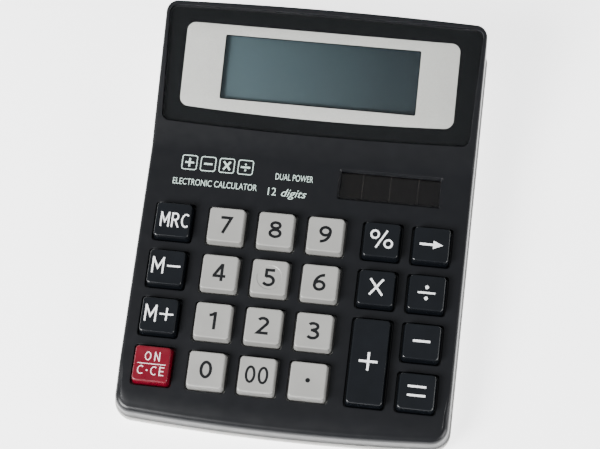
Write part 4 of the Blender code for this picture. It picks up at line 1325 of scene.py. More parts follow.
@dataclass
class BatteryCover:
    """The battery cover: a plate with grip grooves and a nail notch, two hooks and a latch."""

    slack = 0.35
    hook_xs = (-7.0, 7.0)
    hook_half = 1.5
    hook_reach = 1.5
    latch_proud = 0.2
    thickness: float = 1.3
    edge: float = 0.2
    grooves: int = 5
    groove_half: tuple[float, float] = (6.5, 0.35)
    groove_pitch: float = 1.7
    notch_half: tuple[float, float] = (4.0, 0.6)

    @classmethod
    def plate(cls) -> tuple[Array, Array]:
        """Half the plate's width and depth, and its middle, without the hooks and the latch."""
        low, high = extent("battery_cover")
        front, rear = low[1] + cls.latch_proud, high[1] - cls.hook_reach
        return np.array([(high - low)[0], rear - front]) / 2, np.array([(high + low)[0], rear + front]) / 2

    def build(self) -> None:
        """Builds the piece and puts it in the scene."""
        low, high = extent("battery_cover")
        half, middle = self.plate()
        bottom, top = low[2], low[2] + self.thickness
        skin = Skin()

        def outline(offset: float) -> Array:
            """The plate's outline, grown by an offset."""
            return rounded(half + offset, max(0.6 + offset, 0.2), middle)

        rings = [at_level(outline(-self.edge - 0.2), bottom)]
        for angle in np.linspace(0, math.pi / 2, 5):
            rings.append(at_level(outline(self.edge * (math.sin(angle) - 1)),
                                  bottom + self.edge * (1 - math.cos(angle))))
        rings.append(at_level(outline(0), top))
        skin.loft(rings)
        skin.fan(rings[-1])
        pockets = [((middle[0], middle[1] - half[1] + 2.6), self.notch_half, 0.6)]
        first = middle[1] - (self.grooves - 1) / 2 * self.groove_pitch
        for index in range(self.grooves):
            pockets.append(((middle[0], first + index * self.groove_pitch), self.groove_half, 0.25))
        holes = []
        for centre, size, depth in pockets:
            def pocket(offset: float, centre: Point = centre, size: Point = size) -> Array:
                """A groove's or the notch's outline, this far outside its wall."""
                return rounded(np.array(size) + offset, min(size) * 0.9 + offset, centre)

            walls = [*lip(pocket, bottom, 0.08, 1, 0.1), at_level(pocket(-0.05), bottom + depth)]
            skin.loft(walls)
            skin.fan(walls[-1])
            holes.append(walls[0][:, :2])
        skin.sheet(rings[0][:, :2], holes, lambda flat: at_level(flat, bottom))
        front, rear = middle[1] - half[1], middle[1] + half[1]
        fingers = [block((-3, front - self.latch_proud, bottom + 0.1), (3, front + 0.8, high[2]), 0.15)]
        for x in self.hook_xs:
            left, right = x - self.hook_half, x + self.hook_half
            fingers.append(block((left, rear - 1.4, top - 0.4), (right, rear - 0.1, bottom + 2.3), 0.15))
            fingers.append(block((left, rear - 1.2, bottom + 1.65), (right, high[1], bottom + 2.35), 0.15))
        mesh = combine(skin.mesh("battery_door"), fingers, Operation.JOIN)
        add_piece("battery_door", mesh, GREY_CASE, Slot.GREY_CASE, "battery_cover", ["battery_cover"])


# ---- keys ----
def arc(centre: tuple[float, float], half: tuple[float, float], start: float, end: float, steps: int = 22
        ) -> Array:
    """N x 2 points on an ellipse from one angle to another, in degrees."""
    angles = np.radians(np.linspace(start, end, steps + 1))
    return np.array(centre) + np.array(half) * np.column_stack([np.cos(angles), np.sin(angles)])


def line(*points: tuple[float, float]) -> Array:
    """N x 2 points joined by straight strokes."""
    return np.array(points, float)


def ribbon(path: Array, thickness: float) -> list[Array]:
    """The outline of a stroke of even thickness, with square ends and mitred corners.

    Each point moves along the mean of its two edges' normals, by half the thickness over the cosine of half
    the turn.

    Args:
        path: the stroke's middle line. It is closed if it ends where it starts.
        thickness: of the stroke.

    Returns:
        One outline, or an outer and an inner one if the path is closed.
    """
    closed = np.allclose(path[0], path[-1])
    ahead = np.diff(path, axis=0)
    normal = np.column_stack([-ahead[:, 1], ahead[:, 0]]) / np.linalg.norm(ahead, axis=1, keepdims=True)
    before = np.vstack([normal[-1:] if closed else normal[:1], normal])
    after = np.vstack([normal, normal[:1] if closed else normal[-1:]])
    mean = before + after
    mitre = mean / np.maximum((mean * after).sum(axis=1, keepdims=True), 0.35) * thickness / 2
    left, right = path + mitre, path - mitre
    return [left[:-1], right[:-1]] if closed else [np.concatenate([left, right[::-1]])]


STROKE = 0.165  # thickness of a digit's strokes, for a height of 1
LOW, HIGH = STROKE / 2, 1 - STROKE / 2


@dataclass(frozen=True)
class Glyph:
    """A sign for a height of 1: its width, its strokes' middle lines, its dots, and its filled shapes."""

    width: float
    lines: Sequence[Array] = ()
    dots: Sequence[tuple[float, float]] = ()
    dot: float = 0.09  # a dot's radius
    shapes: Sequence[Array] = ()


STEM = line((0.06, 0), (0.06, 1))
LOOP = arc((0.31, 0.315), (0.245, 0.315 - LOW), 0, 360)
NECK = arc((0.53, 0.34), (0.465, HIGH - 0.34), 180, 88)
GLYPHS: dict[str, Glyph] = {
    "0": Glyph(0.66, [arc((0.33, 0.5), (0.26, 0.5 - LOW), 0, 360, 40)]),
    "1": Glyph(0.44, [line((0.32, 0), (0.32, 1)), line((0.02, 0.79), (0.17, 0.83), (0.31, 0.94))]),
    "2": Glyph(0.62, [np.vstack([arc((0.29, 0.71), (0.24, HIGH - 0.71), 152, -42),
                                 line((0.06, LOW), (0.60, LOW))])]),
    "3": Glyph(0.60, [arc((0.26, 0.74), (0.235, HIGH - 0.74), 148, -90), line((0.15, 0.53), (0.28, 0.53)),
                      arc((0.26, 0.295), (0.27, 0.295 - LOW), 90, -150)]),
    "4": Glyph(0.66, [line((0.45, 0.95), (0.07, 0.30)), line((0.01, 0.285), (0.66, 0.285)),
                      line((0.46, 0), (0.46, 1))]),
    "5": Glyph(0.60, [line((0.55, HIGH), (0.13, HIGH), (0.13, 0.50)),
                      arc((0.26, 0.31), (0.275, 0.2525), 122, -150)]),
    "6": Glyph(0.62, [LOOP, NECK]),
    "7": Glyph(0.60, [line((0.02, HIGH), (0.53, HIGH), (0.17, 0))]),
    "8": Glyph(0.64, [arc((0.32, 0.745), (0.215, HIGH - 0.745), 0, 360),
                      arc((0.32, 0.285), (0.26, 0.285 - LOW), 0, 360)]),
    "9": Glyph(0.62, [np.array([0.62, 1]) - LOOP, np.array([0.62, 1]) - NECK]),
    "M": Glyph(0.68, [STEM, line((0.62, 0), (0.62, 1)), line((0.07, 0.95), (0.34, 0.32), (0.61, 0.95))]),
    "R": Glyph(0.58, [STEM, line((0.28, 0.5), (0.54, 0)),
                      np.vstack([line((0.06, HIGH)), arc((0.27, 0.725), (0.21, 0.2175), 90, -90),
                                 line((0.06, 0.5075))])]),
    "C": Glyph(0.56, [arc((0.34, 0.5), (0.285, 0.5 - LOW), 52, 308, 40)]),
    "O": Glyph(0.68, [arc((0.34, 0.5), (0.285, 0.5 - LOW), 0, 360, 40)]),
    "N": Glyph(0.60, [STEM, line((0.54, 0), (0.54, 1)), line((0.06, 0.93), (0.54, 0.07))]),
    "E": Glyph(0.48, [STEM, line((0.06, HIGH), (0.47, HIGH)), line((0.06, 0.5), (0.43, 0.5)),
                      line((0.06, LOW), (0.47, LOW))]),
    "%": Glyph(1.2, [arc((0.25, 0.74), (0.19, 0.21), 0, 360), arc((0.95, 0.26), (0.19, 0.21), 0, 360),
                     line((0.86, 1), (0.34, 0))]),
    "+": Glyph(0.76, [line((0, 0.5), (0.76, 0.5)), line((0.38, 0.12), (0.38, 0.88))]),
    "−": Glyph(0.72, [line((0, 0.5), (0.72, 0.5))]),
    "×": Glyph(0.62, [line((0.02, 0.87), (0.60, 0.13)), line((0.60, 0.87), (0.02, 0.13))]),
    "÷": Glyph(0.80, [line((0, 0.5), (0.80, 0.5))], [(0.40, 0.76), (0.40, 0.24)], 0.085),
    "=": Glyph(0.85, [line((0, 0.71), (0.85, 0.71)), line((0, 0.29), (0.85, 0.29))]),
    "→": Glyph(1.0, [line((0, 0.5), (0.70, 0.5))], shapes=[line((0.58, 0.69), (1.0, 0.5), (0.58, 0.31))]),
    "·": Glyph(0.2, dots=[(0.1, 0.5)]),
}
SPACING = 0.16  # between glyphs, for a height of 1
CAPITAL = 0.66  # a capital's height in the built-in typeface, for a size of 1


def spelled(text: str, height: float, width: float = 0.0, stroke: float = STROKE, gap: float = SPACING
            ) -> tuple[Array, Array]:
    """Letters built from strokes, as a flat piece with a thickness from -1 to 1, centred on the origin.

    The strokes' outlines are triangulated together. A triangle is kept if it is inside any stroke, so
    crossing strokes make one shape. The edges that only one triangle has get a wall.

    Args:
        text: characters of GLYPHS.
        height: of a digit or capital, in millimetres.
        width: of the whole, or 0 for the glyphs' own.
        stroke: thickness, for a height of 1.
        gap: between glyphs, for a height of 1.

    Returns:
        N x 3 points and F x 3 triangles.
    """
    strokes, x = [], 0.0
    gaps = gap * (len(text) - 1)
    wide = (width / height - gaps) / sum(GLYPHS[character].width for character in text) if width else 1.0
    for character in text:
        glyph, shift = GLYPHS[character], np.array([x, 0])
        for path in glyph.lines:
            strokes.append([outline + shift for outline in ribbon(path * np.array([wide, 1]), stroke)])
        for dot in glyph.dots:
            strokes.append([circle(glyph.dot, (dot[0] * wide, dot[1]), 20) + shift])
        strokes.extend([shape * np.array([wide, 1]) + shift] for shape in glyph.shapes)
        x += glyph.width * wide + gap
    flat, edges = outline_edges([outline for outlines in strokes for outline in outlines])
    found = geometry.delaunay_2d_cdt([Vector(point) for point in flat], edges.tolist(), [], 0, 1e-6)
    points, triangles = np.array([tuple(point) for point in found[0]]), np.array(found[2])
    middle = points[triangles].mean(axis=1)
    kept = np.zeros(len(triangles), bool)
    for outlines in strokes:
        kept |= inside(middle, *outline_edges(outlines))
    triangles = triangles[kept]
    ends = triangle_sides(triangles)
    count = len(points)
    single = ends[~np.isin(ends[:, 0] * count + ends[:, 1], ends[:, 1] * count + ends[:, 0])]
    walls = np.vstack([np.column_stack([single[:, 0], single[:, 1], single[:, 1] + count]),
                       np.column_stack([single[:, 0], single[:, 1] + count, single[:, 0] + count])])
    faces = np.vstack([triangles, triangles[:, ::-1] + count, walls])
    points = (points - np.array([(x - gap) / 2, 0.5])) * height
    return np.vstack([at_level(points, 1), at_level(points, -1)]), faces


def lettering(text: str, height: float, width: float, slant: float = 0.0) -> tuple[Array, list[list[int]]]:
    """A line of text in the built-in typeface, as flat letters with a thickness from -1 to 1.

    Args:
        text: what it says.
        height: of a capital, in millimetres.
        width: of the whole line, in millimetres, before it is slanted.
        slant: how far a point moves right for each millimetre up.

    Returns:
        N x 3 points, with the left end and the baseline at the origin, and the faces between them.
    """
    curve = bpy.data.curves.new("lettering", "FONT")
    curve.body = text
    curve.size = 1
    curve.extrude = 1
    curve.resolution_u = 4
    drawn = bpy.data.objects.new("lettering", curve)
    bpy.context.scene.collection.objects.link(drawn)
    bpy.context.view_layer.update()
    mesh = bpy.data.meshes.new_from_object(drawn.evaluated_get(bpy.context.evaluated_depsgraph_get()))
    bpy.data.objects.remove(drawn)
    flat = np.empty(len(mesh.vertices) * 3, np.float32)
    mesh.vertices.foreach_get("co", flat)
    points = flat.reshape(-1, 3).astype(float)
    faces = [list(face.vertices) for face in mesh.polygons]
    bpy.data.meshes.remove(mesh)
    points[:, 0] -= points[:, 0].min()
    points[:, 0] *= width / points[:, 0].max()
    points[:, 1] *= height / CAPITAL
    points[:, 0] += points[:, 1] * slant
    return points, faces


@dataclass(frozen=True)
class Legend:
    """What is printed on a key: its text, height, width if forced, and place from the key's middle."""

    text: str
    height: float = 6.2
    width: float = 0.0
    up: float = 0.0
    right: float = 0.0
    stroke: float = STROKE
    gap: float = SPACING


@dataclass
class KeyCap:
    """A travelling key: stem, flange and a tapered cap with a faintly dished, rounded top."""

    node: str
    finish: Finish
    slot: Slot
    ink: Finish
    legends: Sequence[Legend]
    rule: bool = False  # a printed line between two legends
    marked: bool = False  # the round dish that the finger finds on the middle key
    flange_margin: float = 0.65  # the flange stands out from the cap's foot by this
    flange_thickness: float = 0.8
    flange_below: float = 1.9  # the flange's top, under the deck
    foot: float = -2.3  # level at which the cap has its full width
    draft: float = 0.6
    corner: float = 1.2
    edge: float = 0.5  # rounding of the cap's top edge
    dish: float = 0.14
    mark_radius: float = 4.4
    mark_depth: float = 0.2
    mark_edge: float = 0.3
    stem: float = 2.5
    ink_thickness: float = 0.02
    top_rings: Sequence[float] = (  # shares of the way out from the middle, closest at the mark's edge
        0.96, 0.91, 0.86, 0.81, 0.79, 0.77, 0.75, 0.73, 0.71, 0.66, 0.58, 0.46, 0.32, 0.18, 0.07)

    def __post_init__(self) -> None:
        """Measures the CAD key."""
        low, high = extent(self.node, KEYPAD)
        self.flange, self.centre = footprint(self.node, KEYPAD)
        self.bottom, self.top = low[2], high[2]
        self.half_top = self.flange - self.flange_margin - self.draft

    def outline(self, half: Array, radius: float) -> Array:
        """A rounded rectangle round the key's own middle, with points along its sides too."""
        return rounded(half, radius, steps=6, between=6)

    def crown(self, flat: Array) -> Array:
        """How far the top lies below its rim.

        The dish is deepest in the middle and fades to nothing at each side as one less the square of the
        distance. The mark is a round step, smoothed at its edge.
        """
        share = np.clip(flat / self.half_top, -1, 1)
        depth = self.dish * (1 - share[..., 0] ** 2) * (1 - share[..., 1] ** 2)
        if self.marked:
            inwards = self.mark_radius - np.linalg.norm(flat, axis=-1)
            depth = depth + self.mark_depth * smoothstep(inwards, 0, self.mark_edge)
        return depth

    def body(self) -> Skin:
        """The key's surface, as one stack of rounded rectangles from the stem up to the middle of the top.

        On the cap the half width falls evenly with height. Its top edge is a quarter circle. On the top, ring
        t is t times a mix of the rim and an ellipse, which is all ellipse by t = 0.8.
        """
        ledge = -self.flange_below
        under = ledge - self.flange_thickness
        base = self.flange - self.flange_margin
        stem, flange = np.full(2, self.stem), self.flange
        stack = [(stem - 0.2, 0.3, self.bottom), (stem, 0.4, self.bottom + 0.2), (stem, 0.4, under),
                 (flange - 0.15, 0.4, under), (flange, 0.5, under + 0.15), (flange, 0.5, ledge - 0.15),
                 (flange - 0.15, 0.4, ledge), (self.side(base, ledge), self.corner, ledge)]
        for level in (-0.6, self.top - 2 * self.edge, self.top - self.edge):
            stack.append((self.side(base, level), self.corner, level))
        upper = stack[-1][0]
        for angle in np.linspace(0, math.pi / 2, 7)[1:]:
            inset = self.edge * (1 - math.cos(angle))
            level = self.top + self.edge * (math.sin(angle) - 1)
            stack.append((upper - inset, self.corner - inset * 0.6, level))
        rings = [at_level(self.outline(half, radius), level) for half, radius, level in stack]
        rim = rings[-1][:, :2]
        half = rim.max(axis=0)
        around = np.arctan2(rim[:, 1] / half[1], rim[:, 0] / half[0])
        ellipse = half * np.column_stack([np.cos(around), np.sin(around)])
        for t in self.top_rings:
            mix = smoothstep(1 - t, 0, 0.2)
            flat = t * ((1 - mix) * rim + mix * ellipse)
            rings.append(np.column_stack([flat, self.top - self.crown(flat)]))
        skin = Skin()
        skin.loft(self.placed(np.array(rings)))
        skin.fan(self.placed(rings[0]))
        skin.fan(self.placed(rings[-1]))
        return skin

    def side(self, base: Array, level: float) -> Array:
        """Half the cap's width and height at a level: base less the draft's share of the way up."""
        return base - self.draft * max(level - self.foot, 0) / (self.top - self.foot)

    def placed(self, points: Array) -> Array:
        """Moves points from the key's own middle to their place in the world."""
        return KEYPAD.place(points + np.array([*self.centre, 0]))

    def print(self) -> Skin:
        """The printed legends, as thin letters that follow the top."""
        skin = Skin()
        for legend in self.legends:
            points, faces = spelled(legend.text, legend.height, legend.width, legend.stroke, legend.gap)
            skin.add(self.inked(points + np.array([legend.right, legend.up, 0])), faces)
        if self.rule:
            bar = rounded((4.8, 0.13), 0.1, steps=2, between=8)
            rings = np.array([self.inked(at_level(bar, side)) for side in (-1, 1)])
            skin.loft(rings)
            skin.fan(rings[0])
            skin.fan(rings[1])
        return skin

    def inked(self, points: Array) -> Array:
        """Lays points whose height is -1 to 1 on the top, with the ink's thickness."""
        level = self.top - self.crown(points[:, :2]) + self.ink_thickness * (0.5 + points[:, 2])
        return self.placed(np.column_stack([points[:, :2], level]))

    def build(self) -> None:
        """Builds the key and its print."""
        mesh = self.body().mesh(f"{self.node}_cap", 38)
        add_piece(f"{self.node}_cap", mesh, self.finish, self.slot, self.node, [self.node])
        if self.legends:
            mesh = self.print().mesh(f"{self.node}_print")
            add_piece(f"{self.node}_print", mesh, self.ink, self.slot, self.node)


DIGIT_WIDTHS = (4.1, 2.9, 4.1, 4.0, 4.5, 4.0, 4.2, 4.1, 4.4, 4.2)
LEGENDS: dict[str, Sequence[Legend]] = {
    "key_memory_recall": [Legend("MRC", 5.3, 9.9, right=0.6, stroke=0.105, gap=0.13)],
    "key_memory_minus": [Legend("M−", 5.8, 9.9, up=0.5, stroke=0.1, gap=0.17)],
    "key_memory_plus": [Legend("M+", 5.8, 9.9, up=0.5, stroke=0.1, gap=0.17)],
    "key_on_clear": [Legend("ON", 3.2, 5.2, up=2.6, stroke=0.105, gap=0.34),
                     Legend("C·CE", 3.2, 9.2, up=-2.3, stroke=0.105, gap=0.27)],
    "key_percent": [Legend("%", 6.3, 8.2, up=0.3, stroke=0.105)],
    "key_backspace": [Legend("→", 7.9, stroke=0.1)],
    "key_multiply": [Legend("×", 7.6, up=0.3, stroke=0.095)],
    "key_divide": [Legend("÷", 7.4, stroke=0.09)],
    "key_minus": [Legend("−", 8.0, up=0.2, stroke=0.095)],
    "key_plus": [Legend("+", 8.2, stroke=0.095)],
    "key_equals": [Legend("=", 7.2, up=0.2, stroke=0.1)],
    "key_point": [Legend("·", 9.0)],
    "key_00": [Legend("00", 6.2, 7.8, stroke=0.135, gap=0.14)],
    **{f"key_{digit}": [Legend(str(digit), 6.1, width)] for digit, width in enumerate(DIGIT_WIDTHS)},
}


@dataclass
class Keypad:
    """All the keys, with their finishes."""

    caps: list[KeyCap] = field(default_factory=list)

    def __post_init__(self) -> None:
        """Chooses each key's finish: grey digits, a red clear key, black for the rest."""
        for node, legends in LEGENDS.items():
            finish, slot, ink = BLACK_KEY, Slot.BLACK_KEY, WHITE_INK
            if node == "key_point" or node[4:].isdigit():
                finish, slot, ink = GREY_KEY, Slot.GREY_KEY, DARK_INK
            red = node == "key_on_clear"
            if red:
                finish, slot, ink = RED_KEY, Slot.RED_KEY, PINK_INK
            self.caps.append(KeyCap(node, finish, slot, ink, legends, rule=red, marked=node == "key_5"))

    def build(self) -> None:
        """Builds every key."""
        for cap in self.caps:
            cap.build()


# ---- display and solar cell ----
def slab(rings: Callable[[float], Array], bottom: float, top: float, edge: float, plane: Plane,
         holes: Sequence[Array] = ()) -> Skin:
    """A flat sheet with rounded edges, and square-edged holes.

    Args:
        rings: its outline, given an offset outwards.
        bottom: its lower level.
        top: its upper level.
        edge: rounding of its outer edges.
        plane: that it lies along.
        holes: outlines cut through it.

    Returns:
        The closed surface.
    """
    stack = []
    angles = np.linspace(0, math.pi / 2, 4)
    for level, up, order in ((bottom, 1, angles), (top, -1, angles[::-1])):
        for angle in order:
            ring = rings(edge * (math.sin(angle) - 1))
            stack.append(at_level(ring, level + up * edge * (1 - math.cos(angle))))
    skin = Skin()
    skin.loft(plane.place(stack))
    for level, ring in ((bottom, stack[0]), (top, stack[-1])):
        skin.sheet(ring[:, :2], holes, lambda flat, level=level: plane.place(at_level(flat, level)))
    for hole in holes:
        skin.loft(plane.place([at_level(hole, bottom), at_level(hole, top)]))
    return skin


@dataclass
class Display:
    """The clear lens, the black and silver printing behind it, and the LCD."""

    lens: LensShape
    panel_margin = 4.0  # the LCD's glass beyond the printed window
    lens_edge: float = 0.25
    mask_inset: float = 0.3
    frame_half: float = 48.3
    frame_middle: float = -0.4
    frame_bottom: float = 14.0
    frame_top: float = 43.9
    frame_bow: float = 1.3
    frame_corner: float = 3.0
    print_thickness: float = 0.04
    print_depth: float = 0.09  # of the black printing's face below the lens
    frame_margin: float = 0.35  # the frame's opening, beyond the printed window
    polariser_inset: float = 2.0
    polariser_thickness: float = 0.2

    def frame_ring(self, offset: float) -> Array:
        """The silver frame's outline: a rounded rectangle whose lower edge bows down in the middle."""
        middle = (self.frame_bottom + self.frame_top) / 2
        half = np.array([self.frame_half, (self.frame_top - self.frame_bottom) / 2]) + offset
        ring = rounded(half, self.frame_corner + offset, (self.frame_middle, middle), 8, 24)
        bowed = self.frame_bow * (1 - (ring[:, 0] / self.frame_half) ** 2)
        ring[:, 1] -= np.where(ring[:, 1] < middle, np.maximum(bowed, 0), 0)
        return ring

    def build(self) -> None:
        """Builds the lens, the mask, the silver frame and the LCD."""
        low, high = extent("display_lens", DISPLAY)
        skin = slab(self.lens.ring, low[2], high[2], self.lens_edge, DISPLAY)
        mesh = skin.mesh("lens_clear")
        lens = add_piece("lens_clear", mesh, LENS_CLEAR, Slot.LENS, replaces=["display_lens"])
        lens.visible_shadow = False
        low, high = extent("display_mask", DISPLAY)
        top = high[2] - self.print_depth

        def mask(offset: float) -> Array:
            """The black printing's outline, grown by an offset."""
            return self.lens.ring(offset - self.mask_inset)

        skin = slab(mask, low[2], top, 0.03, DISPLAY, [window_rectangle(0)])
        mesh = skin.mesh("mask_black")
        add_piece("mask_black", mesh, MASK_BLACK, Slot.SILVER_PRINT, replaces=["display_mask"])
        window = window_rectangle(self.frame_margin)
        skin = slab(self.frame_ring, top, top + self.print_thickness, 0.01, DISPLAY, [window])
        add_piece("frame_silver", skin.mesh("frame_silver"), SILVER_INK, Slot.SILVER_PRINT)
        low, high = extent("lcd_panel", DISPLAY)
        half, middle = footprint("lcd_panel", DISPLAY)

        def glass(offset: float) -> Array:
            """The LCD's outline, grown by an offset."""
            return rounded(half + offset, 0.6 + offset, middle)

        face = high[2] - self.polariser_thickness
        # The LCD glass and the polariser both wear LCD_GLASS, whose left-to-right ramp is painted light and
        # reflection.
        skin = slab(glass, low[2], face, 0.12, DISPLAY)
        add_piece("lcd_glass", skin.mesh("lcd_glass"), LCD_GLASS, Slot.LCD_GLASS, replaces=["lcd_panel"])
        skin = slab(lambda offset: glass(offset - self.polariser_inset), face, high[2], 0.05, DISPLAY)
        add_piece("lcd_polariser", skin.mesh("lcd_polariser"), LCD_GLASS, Slot.LCD_GLASS)


@dataclass
class SolarPanel:
    """The solar cell: four strips side by side under a tinted window."""

    strips: int = 4
    gap: float = 0.35
    corner: float = 0.5

    def build(self) -> None:
        """Builds the window, the cell, and the lines between its strips."""
        low, high = extent("solar_window", KEYPAD)
        half, middle = footprint("solar_window", KEYPAD)

        def outline(offset: float) -> Array:
            """The window's outline, grown by an offset."""
            return rounded(half + offset, self.corner + offset, middle)

        skin = slab(outline, low[2], high[2], 0.1, KEYPAD)
        window = add_piece("solar_glass", skin.mesh("solar_glass"), WINDOW_CLEAR, Slot.CLEAR_WINDOW,
                           replaces=["solar_window"])
        window.visible_shadow = False
        # The solar film wears SOLAR_FILM, whose brown-to-purple ramp is a painted sheen.
        low, high = extent("solar_cell", KEYPAD)
        skin = slab(outline, low[2], high[2], 0.05, KEYPAD)
        add_piece("solar_film", skin.mesh("solar_film"), SOLAR_FILM, Slot.SOLAR, replaces=["solar_cell"])
        skin = Skin()
        pitch = 2 * half[0] / self.strips
        for index in range(1, self.strips):
            x = middle[0] - half[0] + index * pitch
            bar = block((x - self.gap / 2, middle[1] - half[1] + 0.2, high[2]),
                        (x + self.gap / 2, middle[1] + half[1] - 0.2, high[2] + 0.03))
            skin.take(bar, KEYPAD)
        add_piece("solar_lines", skin.mesh("solar_lines"), SOLAR_LINE, Slot.SOLAR)


# ---- printing on the deck ----
@dataclass(frozen=True)
class Caption:
    """A printed line: its text, where its left end and its baseline are, and its height and width."""

    text: str
    left: float
    base: float
    height: float
    width: float
    slant: float = 0.0


@dataclass
class DeckPrint:
    """Generic captions and a plain ornament of four boxed signs, in pale ink on the deck."""

    captions: Sequence[Caption] = (
        Caption("ELECTRONIC CALCULATOR", -47.2, 83.3, 2.2, 29.6),
        Caption("DUAL POWER", -11.6, 88.2, 2.2, 13.2),
        Caption("12", -13.6, 82.3, 2.7, 2.9),
        Caption("digits", -9.2, 82.3, 2.7, 8.6, 0.35),
    )
    signs: str = "+−×÷"
    box: float = 5.5
    line: float = 0.35
    corner: float = 0.9
    spacing: float = 6.6
    left: float = -45.0
    base: float = 88.8
    thickness: float = 0.02

    def lay(self, skin: Skin, points: Array, faces: Array | Sequence[Sequence[int]]) -> None:
        """Lays flat print on the deck: its own height of -1 to 1 becomes the ink's thickness."""
        flat = np.column_stack([points[:, :2], self.thickness * (0.4 + points[:, 2])])
        skin.add(KEYPAD.place(flat), faces)

    def build(self) -> None:
        """Builds the captions as one piece and the ornament as another."""
        skin = Skin()
        for caption in self.captions:
            points, faces = lettering(caption.text, caption.height, caption.width, caption.slant)
            self.lay(skin, points + np.array([caption.left, caption.base, 0]), faces)
        add_piece("captions", skin.mesh("captions"), MINT_INK, Slot.BLACK_CASE)
        skin = Skin()
        for index, sign in enumerate(self.signs):
            centre = (self.left + self.box / 2 + index * self.spacing, self.base + self.box / 2)
            self.boxed(skin, sign, centre)
        add_piece("ornament", skin.mesh("ornament"), MINT_INK, Slot.BLACK_CASE)

    def boxed(self, skin: Skin, sign: str, centre: tuple[float, float]) -> None:
        """One sign in a thin-lined box with rounded corners."""
        half = np.full(2, self.box / 2)
        outer = rounded(half, self.corner, centre)
        inner = rounded(half - self.line, self.corner - self.line, centre)
        bottom, top = -0.6 * self.thickness, 1.4 * self.thickness
        rings = [at_level(outer, bottom), at_level(outer, top), at_level(inner, top), at_level(inner, bottom),
                 at_level(outer, bottom)]
        skin.loft(KEYPAD.place(rings))
        points, faces = spelled(sign, self.box * 0.75)
        self.lay(skin, points + np.array([*centre, 0]), faces)


# ---- works and hardware ----
CASE_SCREWS = [f"case_screw_{index}" for index in range(1, 7)]
BOARD_SCREWS = [f"board_screw_{index}" for index in range(1, 5)]
FEET = [f"foot_{index}" for index in range(1, 5)]


@dataclass
class KeyMat:
    """The rubber sheet on the board, and a dome on it under each key."""

    keys: Sequence[str]
    thickness: float = 0.8
    hole: float = 2.0
    foot: float = 4.4
    crown: float = 3.0
    squashed: float = 0.33  # a dome's height when its key is down, as a share

    def build(self) -> None:
        """Builds the sheet and the domes."""
        low, high = extent("key_mat", KEYPAD)
        half, middle = footprint("key_mat", KEYPAD)
        level = low[2] + self.thickness
        rise = high[2] - level
        holes = [circle(self.hole, footprint(screw, KEYPAD)[1], 24) for screw in BOARD_SCREWS]

        def outline(offset: float) -> Array:
            """The sheet's outline, grown by an offset."""
            return rounded(half + offset, 2 + offset, middle)

        skin = slab(outline, low[2], level, 0.1, KEYPAD, holes)
        add_piece("mat_sheet", skin.mesh("mat_sheet"), MAT_RUBBER, Slot.MAT_RUBBER, replaces=["key_mat"])
        for key in self.keys:
            _, centre = footprint(key, KEYPAD)
            profile = [(0, level + 0.02), (self.foot, level + 0.02), (self.foot, level + 0.15),
                       (self.crown + 0.4, level + rise * 0.75), (self.crown, high[2] - 0.1),
                       (self.crown - 0.3, high[2]), (0, high[2])]
            name = key.replace("key_", "dome_")
            mesh = turned(profile, centre, KEYPAD, 24).mesh(name)
            dome = add_piece(name, mesh, MAT_RUBBER, Slot.MAT_RUBBER)
            axis = KEYPAD.place(np.array([0, 0, 1])) - KEYPAD.place(np.zeros(3))
            anchor = KEYPAD.place(np.array([*centre, level])) * MM
            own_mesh(dome)


@dataclass
class Screw:
    """A pan-head screw with a cross recess and a threaded shank, pointing along its plane's normal."""

    node: str
    plane: Plane
    head_height: float
    shank_radius: float
    pitch: float = 0.8
    thread_depth: float = 0.12
    cross_half: float = 0.28  # half the width of the cross's arms
    cross_reach: float = 0.62  # of the head's radius
    recess: float = 0.7
    sides: int = 64

    @property
    def turn(self) -> Array:
        """The angles round the axis."""
        return np.linspace(0, 2 * math.pi, self.sides, endpoint=False)

    def build(self) -> None:
        """Builds the screw."""
        half, self.centre = footprint(self.node, self.plane)
        self.radius = half[0]
        self.low, self.high = (corner[2] for corner in extent(self.node, self.plane))
        skin = Skin()
        skin.loft(self.plane.place(np.concatenate([self.head(), self.shank()])))
        name = f"{self.node}_steel"
        add_piece(name, skin.mesh(name, 45), STEEL, Slot.STEEL, replaces=[self.node])

    def head(self) -> Array:
        """Rings from the middle of the head's face out to its rim and back to the shank.

        The face is a low dome, less a cross: the recess has its full depth where the nearer of the two axes
        is within the arms' half width, and fades over a tenth of a millimetre.
        """
        turn = self.turn
        share = np.linspace(0, 1, 26)[:, None]
        radius = np.maximum(share * self.radius * 0.94, NEAR_ZERO)
        x, y = radius * np.cos(turn), radius * np.sin(turn)
        nearer = np.minimum(np.abs(x), np.abs(y))
        arm = smoothstep(-nearer, -self.cross_half - 0.1, -self.cross_half)
        end = smoothstep(-radius, -self.cross_reach * self.radius - 0.15, -self.cross_reach * self.radius)
        z = self.low + 0.35 * share ** 3 + self.recess * arm * end * self.head_height
        face = np.stack([x, y, np.broadcast_to(z, x.shape)], axis=-1)
        rim = [(self.radius, self.low + 0.6), (self.radius, self.low + self.head_height),
               (self.shank_radius, self.low + self.head_height)]
        rings = [at_level(circle(radius, (0, 0), len(turn)), z) for radius, z in rim]
        return np.concatenate([face, rings]) + np.array([*self.centre, 0])

    def shank(self) -> Array:
        """Rings up the shank: its radius rises and falls once a pitch, a turn later each turn round."""
        turn = self.turn
        start, end = self.low + self.head_height, self.high
        z = np.linspace(start, end, int((end - start) / self.pitch * 6))[:, None]
        phase = (z / self.pitch - turn / (2 * math.pi)) % 1
        taper = np.clip((end - z) / (2 * self.shank_radius), 0, 1)
        radius = (self.shank_radius - self.thread_depth * np.abs(2 * phase - 1)) * (0.15 + 0.85 * taper)
        radius[-1] = NEAR_ZERO
        x, y = radius * np.cos(turn), radius * np.sin(turn)
        return np.stack([x, y, np.broadcast_to(z, x.shape)], axis=-1) + np.array([*self.centre, 0])


